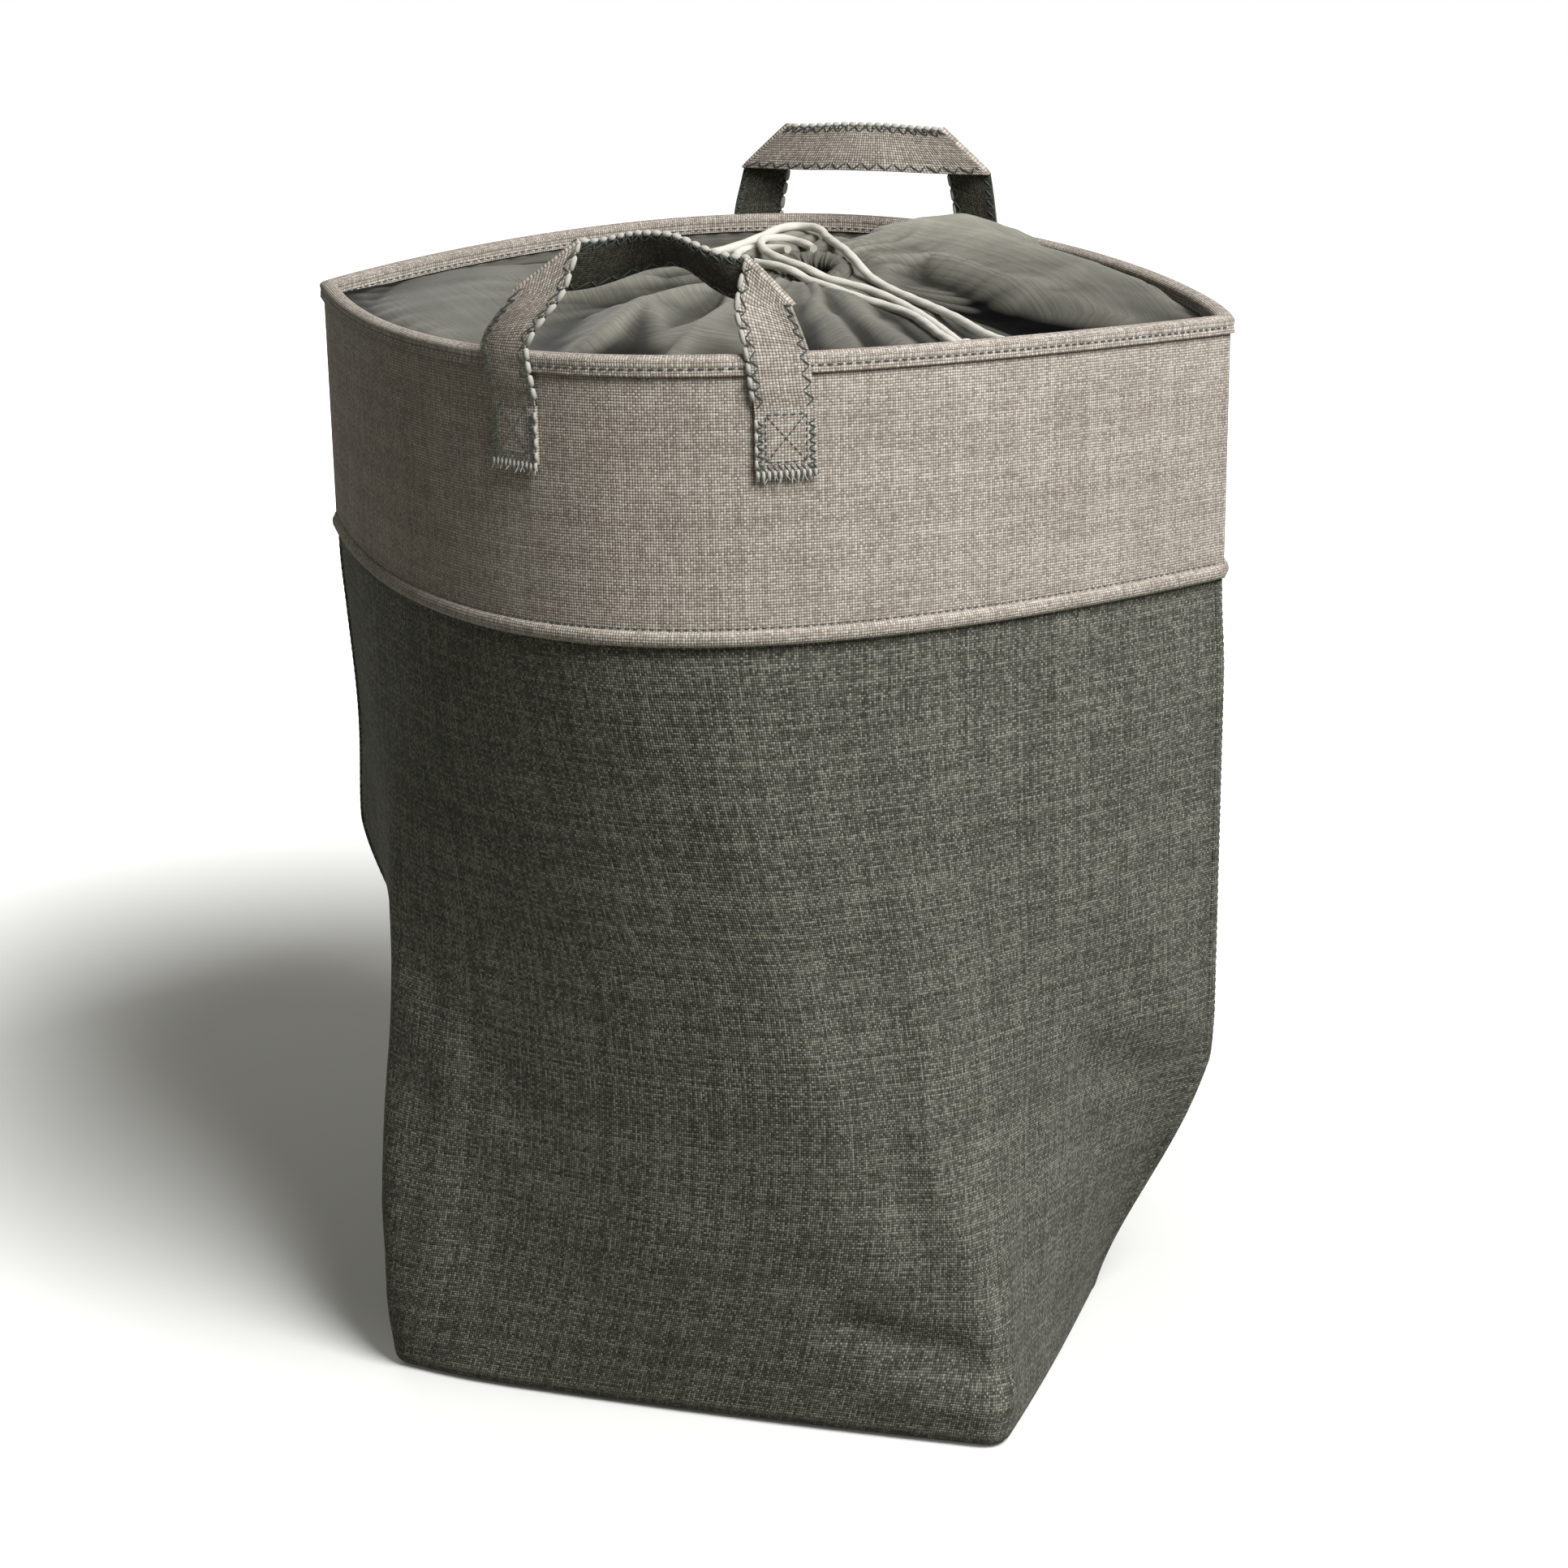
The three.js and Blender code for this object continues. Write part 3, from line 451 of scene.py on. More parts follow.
def ramp(tree, factor, *stops):
    """A colour ramp through two or more stops, each a place and a colour."""
    made = node(tree, "ValToRGB", {"Fac": factor})
    elements = made.color_ramp.elements
    for element, (place, colour) in zip((elements[0], elements[1]), (stops[0], stops[-1])):
        element.position = place
        element.color = (*colour, 1)
    for place, colour in stops[1:-1]:
        elements.new(place).color = (*colour, 1)
    return made.outputs[0]


def spread(tree, value, low, high, to_low=0.0, to_high=1.0):
    """A value stretched from one range to another."""
    return node(tree, "MapRange", {"Value": value, "From Min": low, "From Max": high,
                                   "To Min": to_low, "To Max": to_high}, 0)


def emboss(tree, shader, height, strength, distance):
    relief = node(tree, "Bump", {"Height": height, "Strength": strength, "Distance": distance}, 0)
    tree.links.new(relief, shader.inputs["Normal"])


def laid_cloth(tree, group, turn=None, **values):
    """A cloth's face group, laid along the threads of the piece and perhaps turned on them."""
    laid = node(tree, "Attribute", attribute_name="threads", give="Vector")
    if turn is not None:
        laid = node(tree, "VectorRotate", {"Vector": laid, "Angle": turn}, 0, rotation_type="Z_AXIS")
    return node(tree, "Group", {"Threads": laid, **values}, node_tree=group)


def woven_material(name, pitch, waver, streak, colours, cleft_painted_shade, crown_painted_highlight, relief_height, sheen):
    """A woven cloth: yarn tones from the darkest to the lightest, with painted shade in the clefts
    between the yarns and a painted highlight on their crowns."""
    material, tree, shader = fresh_material(name, Roughness=0.92, IOR=1.15, Sheen_Weight=sheen,
                                            Sheen_Roughness=0.6)
    weave = laid_cloth(tree, plain_weave, Pitch=pitch, Waver=waver, Streak=streak).outputs
    toned = ramp(tree, spread(tree, weave["Tone"], 0.30, 0.70), *zip((0, 0.5, 1), colours))
    # Painted light: the colour is darkened in the clefts between the yarns (painted shade) and lifted on
    # their crowns (painted highlight), following the weave's height.
    depth = spread(tree, weave["Height"], 0.05, 0.85, cleft_painted_shade, crown_painted_highlight)
    shade = calc(tree, "MULTIPLY", depth, spread(tree, weave["Cloud"], 0.3, 0.7, 0.92, 1.08))
    shaded = node(tree, "VectorMath", {0: toned, "Scale": shade}, 0, operation="SCALE")
    tree.links.new(shaded, shader.inputs["Base Color"])
    emboss(tree, shader, weave["Height"], 0.6, relief_height)
    return material


body_material = woven_material("body_cloth", 0.00130, 0.35, 8.0,
                               ((0.048, 0.049, 0.041), (0.116, 0.117, 0.096), (0.262, 0.258, 0.214)),
                               0.42, 1.35, 0.0005, 0.06)


# Walls: a front and a rear panel of the dark cloth. The foot of each rolls under to meet the base,
# and the top edge is caught behind the rim band.
body_cloth = 0.002
body_recess = 0.0015
foot_roll = 0.008
foot_turns = 5
foot_turned_in = 0.006
band_bottom = rim_height - band_height
body_top = band_bottom - seat_gap
wall_columns = 200
wall_rows = 100
seam_edge = seat_gap / panel_length
strip_share = seam_strip / 2 / panel_length
panel_shares = np.concatenate([[seam_edge, strip_share], np.linspace(0, 1, wall_columns)[2:-2],
                               [1 - strip_share, 1 - seam_edge]])


def fold_with_rim(piece):
    """The piece stands on the base, with a mesh of its own."""
    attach(piece, "base")
    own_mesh(piece)


def wall_face(side, radius, inset):
    """One face of a wall panel, from the rolled foot up to the band, and its rows' heights."""
    turns = np.linspace(0, math.pi / 2, foot_turns + 1)[:-1]
    insets = np.concatenate([body_recess + foot_roll - radius * np.sin(turns), np.full(wall_rows, inset)])
    climb = np.linspace(foot_roll, body_top, wall_rows)
    heights = np.concatenate([foot_roll - radius * np.cos(turns), climb])
    return wall(side, panel_shares, insets[:, None], heights[:, None]), heights


for side, name in ((FRONT, "front"), (REAR, "rear")):
    outer, heights = wall_face(side, foot_roll, body_recess)
    inner, _ = wall_face(side, foot_roll - body_cloth, body_recess + body_cloth)
    heights[:foot_turns] -= foot_turned_in
    threads = thread_grid(panel_shares * panel_length, heights)
    piece = skin(f"{name}_wall", outer, inner, threads, body_material)
    fold_with_rim(piece)
    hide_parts(f"body_{name}_panel")


# Side seams: the edges of the two wall panels, pressed flat into a narrow strip and stitched
# along both sides.
seam_inner = body_recess + 0.0003
seam_outer = body_recess - 0.0009
seam_rows = 90
seam_columns = 9
seam_stitches = np.arange(0.075, 0.408, 0.0042)
seam_stitch_length = 0.0030
seam_thread = 0.00024


def grain(tree, shader, kind, inputs, output, *stops, **settings):
    """Colours a piece by a grain through its solid: the grain's texture, and stops for its colours."""
    place = node(tree, "TexCoord", give="Object")
    grains = node(tree, kind, {"Vector": place, **inputs}, output, **settings)
    tree.links.new(ramp(tree, grains, *stops), shader.inputs["Base Color"])
    return grains


thread_material, thread_tree, thread_shader = fresh_material("slate_thread", Roughness=0.6, Sheen_Weight=0.1)
grain(thread_tree, thread_shader, "TexWave", {"Scale": 900.0, "Distortion": 1.5}, "Fac",
      (0, (0.016, 0.024, 0.021)), (1, (0.050, 0.066, 0.060)), bands_direction="DIAGONAL")


def sew(name, stitches, radius, material, sunk=0.6, arch=0.5):
    """Stitches as short arched threads. Each is a start, an end, and the way out of the cloth."""
    sides = 6
    shares, fats, lifts = np.array([(0.0, 0.35, -sunk), (0.12, 0.85, 0.0), (0.5, 1.0, arch),
                                    (0.88, 0.85, 0.0), (1.0, 0.35, -sunk)]).T[..., None, None]
    start, end, out = (np.array(part, float)[:, None, None] for part in zip(*stitches))
    along = end - start
    length = np.linalg.norm(along, axis=-1, keepdims=True)
    way = along / length
    out = out - way * (out * way).sum(axis=-1, keepdims=True)
    out = out / np.linalg.norm(out, axis=-1, keepdims=True)
    across = np.cross(way, out)
    turns = np.linspace(0, 2 * math.pi, sides, endpoint=False)[:, None]
    rings = (start + way * length * shares + out * radius * lifts
             + radius * fats * (np.cos(turns) * across + np.sin(turns) * out))
    grid = np.arange(len(shares) * sides).reshape(-1, sides)
    closed = np.concatenate([grid, grid[:, :1]], axis=1)
    one = [*cells(closed.T).tolist(), np.roll(grid[0], 1).tolist(), np.roll(grid[-1, ::-1], 1).tolist()]
    shifts = range(0, len(stitches) * grid.size, grid.size)
    faces = [[k + shift for k in face] for shift in shifts for face in one]
    return add_piece(name, rings, faces, material)


for seam, name, outward in ((0, "left", -1.0), (1, "right", 1.0)):
    climb = np.linspace(foot_roll, body_top - 0.001, seam_rows)
    sunk = (body_recess - 0.0004 - seam_outer) * (1 - smooth_step((climb - 0.02) / 0.06))
    across = np.linspace(-1, 1, seam_columns)
    faces = [np.stack([wall(FRONT if place < 0 else REAR, abs(seam - abs(place) * strip_share), insets, climb)
                       for place in across], axis=1) for insets in (seam_outer + sunk, seam_inner)]
    threads = thread_grid(across * seam_strip / 2 + seam * 0.4, climb)
    piece = skin(f"{name}_seam_strip", *faces, threads, body_material)
    fold_with_rim(piece)
    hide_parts(f"{name}_side_seam")
    stitches = []
    for side in (FRONT, REAR):
        starts, ends = (wall(side, abs(seam - 0.72 * strip_share), seam_outer - 0.0001, seam_stitches + up)
                        for up in (0, seam_stitch_length))
        stitches += [(start, end, (outward, 0.6 * side, 0.0)) for start, end in zip(starts, ends)]
    piece = sew(f"{name}_seam_stitching", stitches, seam_thread, thread_material, arch=0.2)
    fold_with_rim(piece)


# Base: a panel of the body cloth on the floor and a stiff fibre board on it, inside the rolled
# feet of the walls. The lining over the board is a sheet of the same kind.
base_cloth = 0.002
base_columns = 160
base_rings = 60
board_thickness = 0.003
board_inset = body_recess + foot_roll + seat_gap
liner_cloth = 0.001
liner_ripple = 0.0012
lower_liner_outer = body_recess + body_cloth + seat_gap
lower_liner_inner = lower_liner_outer + liner_cloth
base_liner_bottom = base_cloth + seat_gap + board_thickness + seat_gap


def base_sheet(name, inset, bottom, thickness, ripple, material):
    """A flat sheet over the base: rings of points from its middle out to its edge."""
    around = np.linspace(0, 1, base_columns, endpoint=False)
    edge = np.concatenate([wall(FRONT, around, inset, 0.001), wall(REAR, 1 - around, inset, 0.001)])
    shares = np.linspace(0.002, 1, base_rings)[:, None]
    plan = shares[..., None] * edge[:, :2]
    x, y = plan[..., 0], plan[..., 1]
    swell = np.abs(ripple * np.sin(x * 47 + 1.3) * np.sin(y * 39 - 0.4) * (1 - shares ** 6))
    roll = 0.0004 * smooth_step((shares - 0.985) / 0.015)
    top = np.stack([x, y, bottom + thickness + swell - roll], axis=-1)
    under = np.stack([x, y, np.full(x.shape, bottom)], axis=-1)
    return skin(name, top, under, plan, material, closed=True)


piece = base_sheet("base_underside", board_inset, 0.0, base_cloth, 0.0, body_material)
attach(piece, "base")
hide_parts("base_panel")

board_material, board_tree, board_shader = fresh_material("stiff_board", Roughness=0.85)
board_fibres = grain(board_tree, board_shader, "TexNoise", {"Scale": 420.0, "Detail": 6.0}, 0,
                     (0.3, (0.150, 0.105, 0.066)), (0.7, (0.330, 0.255, 0.180)))
emboss(board_tree, board_shader, board_fibres, 0.4, 0.0004)
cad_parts["base_board"].data.materials.clear()
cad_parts["base_board"].data.materials.append(board_material)


# Linings: a smooth grey-green satin with a low sheen, one pair of panels behind the walls,
# one pair behind the band, and one sheet over the base board.
def satin_group():
    """Satin: long fine floats across the cloth, and slow clouds of tone."""
    tree, given, places = cloth_group("satin_floats", Pitch=0.0006)
    split = node(tree, "SeparateXYZ", {0: places}).outputs
    yarn = calc(tree, "FLOOR", split[1])
    own = node(tree, "TexWhiteNoise", {"W": yarn}, "Value", noise_dimensions="1D")
    run = node(tree, "CombineXYZ", {0: calc(tree, "MULTIPLY", yarn, 5.17),
                                    1: calc(tree, "MULTIPLY", split[0], 0.06), 2: 0.0}, 0)
    slub = node(tree, "TexNoise", {"Vector": run, "Scale": 1.0, "Detail": 2.0}, 0)
    node(tree, "NodeGroupOutput", {
        "Height": rib(tree, split[1]),
        "Tone": calc(tree, "MULTIPLY_ADD", own, 0.4, calc(tree, "MULTIPLY", slub, 0.6)),
        "Cloud": node(tree, "TexNoise", {"Vector": given["Threads"], "Scale": 26.0, "Detail": 3.0}, 0)})
    return tree


liner_material, liner_tree, liner_shader = fresh_material("liner_satin", IOR=1.12, Sheen_Weight=0.02,
                                                          Sheen_Roughness=0.35)
liner_face = laid_cloth(liner_tree, satin_group()).outputs
liner_tone = calc(liner_tree, "MULTIPLY_ADD", liner_face["Cloud"], 0.45,
                  calc(liner_tree, "MULTIPLY", liner_face["Tone"], 0.55))
liner_colour = ramp(liner_tree, spread(liner_tree, liner_tone, 0.3, 0.7),
                    (0, (0.105, 0.103, 0.087)), (1, (0.182, 0.178, 0.152)))
# Painted light: where a piece carries it, the painted shade and highlight of its folds scale the satin's
# colour. Pieces without it keep their own colour.
liner_painted_light = node(liner_tree, "Attribute", attribute_name="painted_fold_light", give="Fac")
liner_painted_light_scale = calc(liner_tree, "ADD", liner_painted_light, 1.0)
liner_colour_with_painted_light = node(liner_tree, "VectorMath", {0: liner_colour, "Scale": liner_painted_light_scale}, 0, operation="SCALE")
liner_tree.links.new(liner_colour_with_painted_light, liner_shader.inputs["Base Color"])
emboss(liner_tree, liner_shader, liner_face["Height"], 0.25, 0.0002)
liner_rough = spread(liner_tree, liner_face["Cloud"], 0.3, 0.7, 0.54, 0.66)
liner_tree.links.new(liner_rough, liner_shader.inputs["Roughness"])

piece = base_sheet("base_lining", lower_liner_inner + 0.0002, base_liner_bottom, liner_cloth,
                   liner_ripple, liner_material)
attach(piece, "base")
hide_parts("base_liner")

hoop_wire = 0.0015
ferrule_wall = 0.0007
binding_cloth = 0.0015
band_cloth = 0.0015
stiffener = 0.002
stiffener_outer = band_cloth + seat_gap
stiffener_inner = stiffener_outer + stiffener
upper_liner_outer = stiffener_inner + seat_gap
upper_liner_inner = upper_liner_outer + liner_cloth
hoop_height = rim_height - binding_cloth - hoop_wire - ferrule_wall - 2 * seat_gap
stack_top = hoop_height - hoop_wire - ferrule_wall - 2 * seat_gap
upper_pucker = 0.0013
lower_rows, upper_rows = 70, 40


def wall_layer(name, side, outer_inset, inner_inset, heights, material, pucker=0.0):
    """A flat layer of the wall between two insets; pucker ripples only its inner face."""
    up = heights[:, None]
    ripple = pucker * (0.5 + 0.5 * np.sin(panel_shares * 310 + 3 * np.sin(up * 21)))
    fade = smooth_step(np.minimum(up - heights[0], heights[-1] - up) / 0.005)
    return skin(name, wall(side, panel_shares, outer_inset, up),
                wall(side, panel_shares, inner_inset + ripple * fade, up),
                thread_grid(panel_shares * panel_length, heights), material)


lower_heights = np.linspace(base_liner_bottom + liner_cloth + 2 * seat_gap, body_top, lower_rows)
upper_heights = np.linspace(band_bottom, stack_top, upper_rows)
for side, name in ((FRONT, "front"), (REAR, "rear")):
    piece = wall_layer(f"lower_lining_{name}", side, lower_liner_outer, lower_liner_inner, lower_heights,
                       liner_material, pucker=liner_ripple)
    fold_with_rim(piece)
    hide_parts(f"lower_liner_{name}")
    piece = wall_layer(f"upper_lining_{name}", side, upper_liner_outer, upper_liner_inner, upper_heights,
                       liner_material, pucker=upper_pucker)
    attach(piece, "rim")
    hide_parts(f"upper_liner_{name}")


# Rim band: light linen-look cloth outside a padding sheet. A rolled welt finishes its lower edge,
# over the top of the walls, and a row of stitches above it holds it.
band_material = woven_material("band_cloth", 0.00134, 0.40, 9.0,
                               ((0.285, 0.240, 0.205), (0.420, 0.372, 0.325), (0.560, 0.520, 0.465)),
                               0.45, 1.36, 0.0005, 0.05)
foam_material, foam_tree, foam_shader = fresh_material("foam_sheet", Roughness=0.9)
foam_cells = grain(foam_tree, foam_shader, "TexVoronoi", {"Scale": 900.0}, "Distance",
                   (0, (0.62, 0.60, 0.56)), (1, (0.80, 0.78, 0.74)))
emboss(foam_tree, foam_shader, foam_cells, 0.5, 0.0004)

for side, name in ((FRONT, "front"), (REAR, "rear")):
    piece = wall_layer(f"band_cloth_{name}", side, 0.0, band_cloth, upper_heights, band_material)
    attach(piece, "rim")
    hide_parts(f"band_{name}")
    piece = wall_layer(f"band_padding_{name}", side, stiffener_outer, stiffener_inner, upper_heights,
                       foam_material)
    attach(piece, "rim")
    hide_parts(f"band_stiffener_{name}")

round_columns = 420
round_half = round_columns // 2
round_shares = np.arange(round_half) / round_half
round_run = np.arange(round_columns + 1) / round_half * panel_length


def wall_round(inset, height):
    """Points right round both panels, from the left seam by the front. Rows go with inset and height."""
    inset, height = np.atleast_1d(inset)[:, None], np.atleast_1d(height)[:, None]
    return np.concatenate([wall(FRONT, round_shares, inset, height),
                           wall(REAR, 1 - round_shares, inset, height)], axis=1)


def stitch_row(side, shares, length, inset, height, outward=1):
    """Stitches on a level line of the wall, at shares along a panel and each some share long."""
    starts, ends = wall(side, shares, inset, height), wall(side, shares + length, inset, height)
    facing = side * outward
    return [(start, end, (-facing * run[1], facing * run[0], 0.0))
            for start, end, run in zip(starts, ends, ends - starts)]


welt_rows = 12
welt_height = 0.0075
welt_proud = 0.0026
welt_stitch = 1 / 170
welt_thread = 0.00030
welt_turns = np.linspace(0, math.pi, welt_rows)
welt_up = band_bottom + welt_height / 2 * (1 - np.cos(welt_turns))
welt_face = wall_round(-seat_gap - welt_proud * np.sin(welt_turns), welt_up)
welt_back = wall_round(np.full(welt_rows, -seat_gap * 0.9), welt_up)
from_seam = np.tile(np.minimum(round_shares, 1 - round_shares), 2)[:, None]
welt_face = welt_back + (welt_face - welt_back) * (0.3 + 0.7 * smooth_step(from_seam / 0.012))
threads = thread_grid(round_run, np.linspace(0, 0.0105, welt_rows))
piece = skin("band_welt_roll", welt_face, welt_back, threads, band_material, closed=True)
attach(piece, "rim")
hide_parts("band_welt")

stitches = []
for side in (FRONT, REAR):
    stitches += stitch_row(side, np.arange(0.004, 0.992, welt_stitch), 0.7 * welt_stitch, 0.0,
                           band_bottom + welt_height + 0.0010)
piece = sew("welt_stitching", stitches, welt_thread, thread_material)
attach(piece, "rim")


# Rim binding: a strip of the band cloth folded over the top of band and lining and stitched down.
# The sprung steel hoop that keeps the mouth open runs inside it, closed by a ferrule.
binding_height = 0.009
binding_outer = -seat_gap - binding_cloth
binding_inner = upper_liner_inner + seat_gap + binding_cloth
binding_turns = np.linspace(0, math.pi, 13)
binding_legs = 4
binding_stitch = 1 / 150
binding_thread = 0.00034


def binding_face(outer, inner, crown, rise, pull):
    """Points over one face of the binding: up a leg, over the arch and down again."""
    legs = rim_height - binding_height + np.arange(binding_legs) * 0.005 / binding_legs
    pulled = pull * bump(legs, rim_height - 0.0055, 0.0012)
    arch = (outer + inner) / 2 - (inner - outer) / 2 * np.cos(binding_turns)
    over = crown - rise * (1 - np.sin(binding_turns))
    return wall_round(np.concatenate([outer + pulled, arch, (inner - pulled)[::-1]]),
                      np.concatenate([legs, over, legs[::-1]]))


outside = binding_face(binding_outer, binding_inner, rim_height, hoop_wire + binding_cloth, 0.0004)
inside = binding_face(binding_outer + binding_cloth, binding_inner - binding_cloth,
                      rim_height - binding_cloth, hoop_wire, 0)
threads = thread_grid(round_run, np.linspace(0, 0.026, len(outside)))
piece = skin("rim_binding_strip", outside, inside, threads, band_material, closed=True)
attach(piece, "rim")
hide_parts("rim_binding")

stitches = []
for inset, outward, down in ((binding_outer, 1, 0.0056), (binding_inner, -1, 0.0072)):
    for side in (FRONT, REAR):
        stitches += stitch_row(side, np.arange(binding_stitch, 1 - binding_stitch, binding_stitch),
                               0.66 * binding_stitch, inset, rim_height - down, outward)
piece = sew("binding_stitching", stitches, binding_thread, thread_material)
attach(piece, "rim")

steel_material, steel_tree, steel_shader = fresh_material("spring_steel", Metallic=1.0)
steel_lines = grain(steel_tree, steel_shader, "TexNoise", {"Scale": 700.0, "Detail": 4.0}, 0,
                    (0, (0.22, 0.23, 0.24)), (1, (0.42, 0.43, 0.44)))
steel_tree.links.new(spread(steel_tree, steel_lines, 0, 1, 0.25, 0.5), steel_shader.inputs["Roughness"])
for name in ("rim_hoop", "hoop_ferrule"):
    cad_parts[name].data.materials.clear()
    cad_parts[name].data.materials.append(steel_material)


# Drawstring cover: one sheet of the lining satin, sewn in below the binding and gathered on the cord
# to a small mouth left of the middle. Folds run from the mouth to the rim, a puff stands at the right
# of the back with a long crease in front of it, and the tails of the cord lie in soft furrows.
cover_drop = 0.018
cover_cloth = 0.0010
gather_rise = 0.0014
neck_rise = 0.007
mouth_x = 0.010
mouth_y = 0.052
mouth_radius = 0.013
mouth_tilt = math.radians(12)
casing_radius = 0.0055
cord_radius = 0.0022
cover_gathers = 12
cover_seat = rim_height - cover_drop
lip_rise = 0.0035
mouth_height = cover_seat + lip_rise + neck_rise
cover_rows = 110
fold_strength = 1.12

# Crest lines in millimetres, the fall of the cloth to the left and to the right of each line's way,
# how round the crest is, and the distance past which the cloth drops away. Then hollows: place,
# reach and depth.
cover_crests = [
    ([(-6, 33, 551), (-12, -5, 547), (-26, -33, 547.5), (-38, -67, 548), (-42, -108, 543), (-49, -140, 536)],
     0.62, 0.36, 2.0, 30),
    ([(-38, -67, 548), (-19, -102, 542), (-2, -138, 535)], 0.40, 0.55, 2.0, 26),
    ([(0, 25, 550), (-8, -18, 546.5), (2, -60, 546), (2, -110, 545), (-1, -142, 537)], 0.25, 1.30, 1.8, 40),
    ([(12, 10, 548), (11, -64, 545), (2, -109, 544)], 0.35, 0.35, 4.0, 20),
    ([(20, 22, 547), (36, -29, 543.5), (58, -65, 540), (77, -98, 535)], 0.60, 0.42, 2.5, 20),
    ([(26, 30, 546), (64, -41, 541), (98, -88, 536)], 0.45, 0.60, 2.5, 20),
    ([(-8, 48, 549), (-63, 38, 543.5), (-84, 10, 542.5), (-104, -25, 541), (-116, -60, 537)],
     0.50, 0.30, 3.0, 28),
    ([(-6, 66, 549.5), (-50, 78, 545), (-96, 72, 541), (-140, 60, 537)], 0.28, 0.55, 3.0, 28),
    ([(-120, 78, 538), (-148, 38, 540.5), (-133, -38, 540.5), (-118, -114, 538)], 0.16, 0.16, 22.0, 60),
    ([(12, 92, 549), (36, 130, 552.5), (48, 150, 555.5), (66, 158, 556.5), (95, 122, 553), (150, 85, 547),
      (225, 32, 535)], 0.60, 0.13, 7.0, 42),
    ([(28, 72, 547.5), (67, 87, 548.2), (102, 76, 546.5), (138, 59, 543.5), (177, 45, 539.5), (225, 30, 534)],
     0.06, 1.30, 1.5, 34),
    ([(-22, 96, 547), (-20, 122, 546), (-24, 150, 541)], 0.30, 0.22, 9.0, 30),
]
cover_hollows = [(140, 0, 62, 15), (-34, -14, 26, 4), (-92, -2, 34, 3), (40, -96, 34, 4), (-14, -118, 16, 3)]
cord_routes = {
    "short": [
        (6, 79, 551), (-2, 88, 552), (-9, 93, 552.5), (-16, 93.5, 553.5), (-22, 89, 554), (-23, 80, 554),
        (-18, 68, 551.5), (-9, 56, 550.5), (2, 47, 549), (14, 38.5, 547.5), (26, 32, 544),
        (38, 27, 542.5), (52, 20, 541), (68, 8, 538.5), (90, -16, 535), (122, -65, 531),
    ],
    "long": [
        (-7, 75, 551), (-14, 81, 550), (-22, 83, 549.5), (-29, 80, 549.5), (-33, 73, 549),
        (-32, 65, 548), (-26, 57, 547.5), (-16, 49.5, 547.5), (-5, 41.5, 548), (7, 33.5, 547),
        (19, 26, 543.5), (30, 18, 542.5), (54, 2, 539.5), (67, -5, 538), (82, -18, 537),
        (97, -42, 537), (110, -66, 536.5), (120, -83, 536.5), (129, -98, 536), (139, -107, 536),
        (150, -108, 535.5), (158, -100, 535.5), (155, -87, 535.5), (131, -57, 535.5), (108, -21, 536),
        (92, -2, 537), (76, 14, 538.5), (60, 29, 540.5), (46, 43, 544), (36, 55, 549), (27, 68, 552),
        (17, 84, 553), (7, 102, 553.5), (0, 114, 555), (-7, 121, 555.5), (-15, 122, 555.5),
        (-22, 115, 555.5), (-29, 98, 553), (-38, 78, 550.5), (-51, 58, 548.5),
    ],
}
# Painted light on the satin: painted shade darkens the hollows and a fold's foot, and a painted
# highlight pales the puff and a fold's crest.
painted_light_heights = [516, 528, 534, 540, 548, 551, 557]
painted_light_steps = [-0.85, -0.74, -0.41, -0.14, 0.10, 0.42, 1.05]
painted_light_of_fold = 0.30


def nearest_on(x, y, start, end):
    """Distance to a stretch of a line, how far to its left (one) or right (minus one), and its height."""
    along = np.array(end[:2], float) - start[:2]
    away_x, away_y = x - start[0], y - start[1]
    place = ((away_x * along[0] + away_y * along[1]) / along.dot(along)).clip(0, 1)
    distance = np.hypot(away_x - place * along[0], away_y - place * along[1])
    leftward = (along[0] * away_y - along[1] * away_x) / np.linalg.norm(along)
    return distance, (leftward / (distance + 0.5)).clip(-1, 1), start[2] + place * (end[2] - start[2])


def tented(x, y, line, left_fall, right_fall, roundness, reach):
    """The height of the cloth where it hangs from one crest line."""
    height = np.full(x.shape, -1000.0)
    for start, end in zip(line[:-1], line[1:]):
        distance, side, crest = nearest_on(x, y, start, end)
        fall = (left_fall + right_fall) / 2 + (left_fall - right_fall) / 2 * side
        drop = 0.9 * (np.hypot((distance - reach).clip(0), 6) - 6)
        height = np.maximum(height, crest - drop - fall * (np.hypot(distance, roundness) - roundness))
    return height


def soft_upper(a, b, softness):
    return (a + b + np.sqrt((a - b) ** 2 + softness ** 2)) / 2


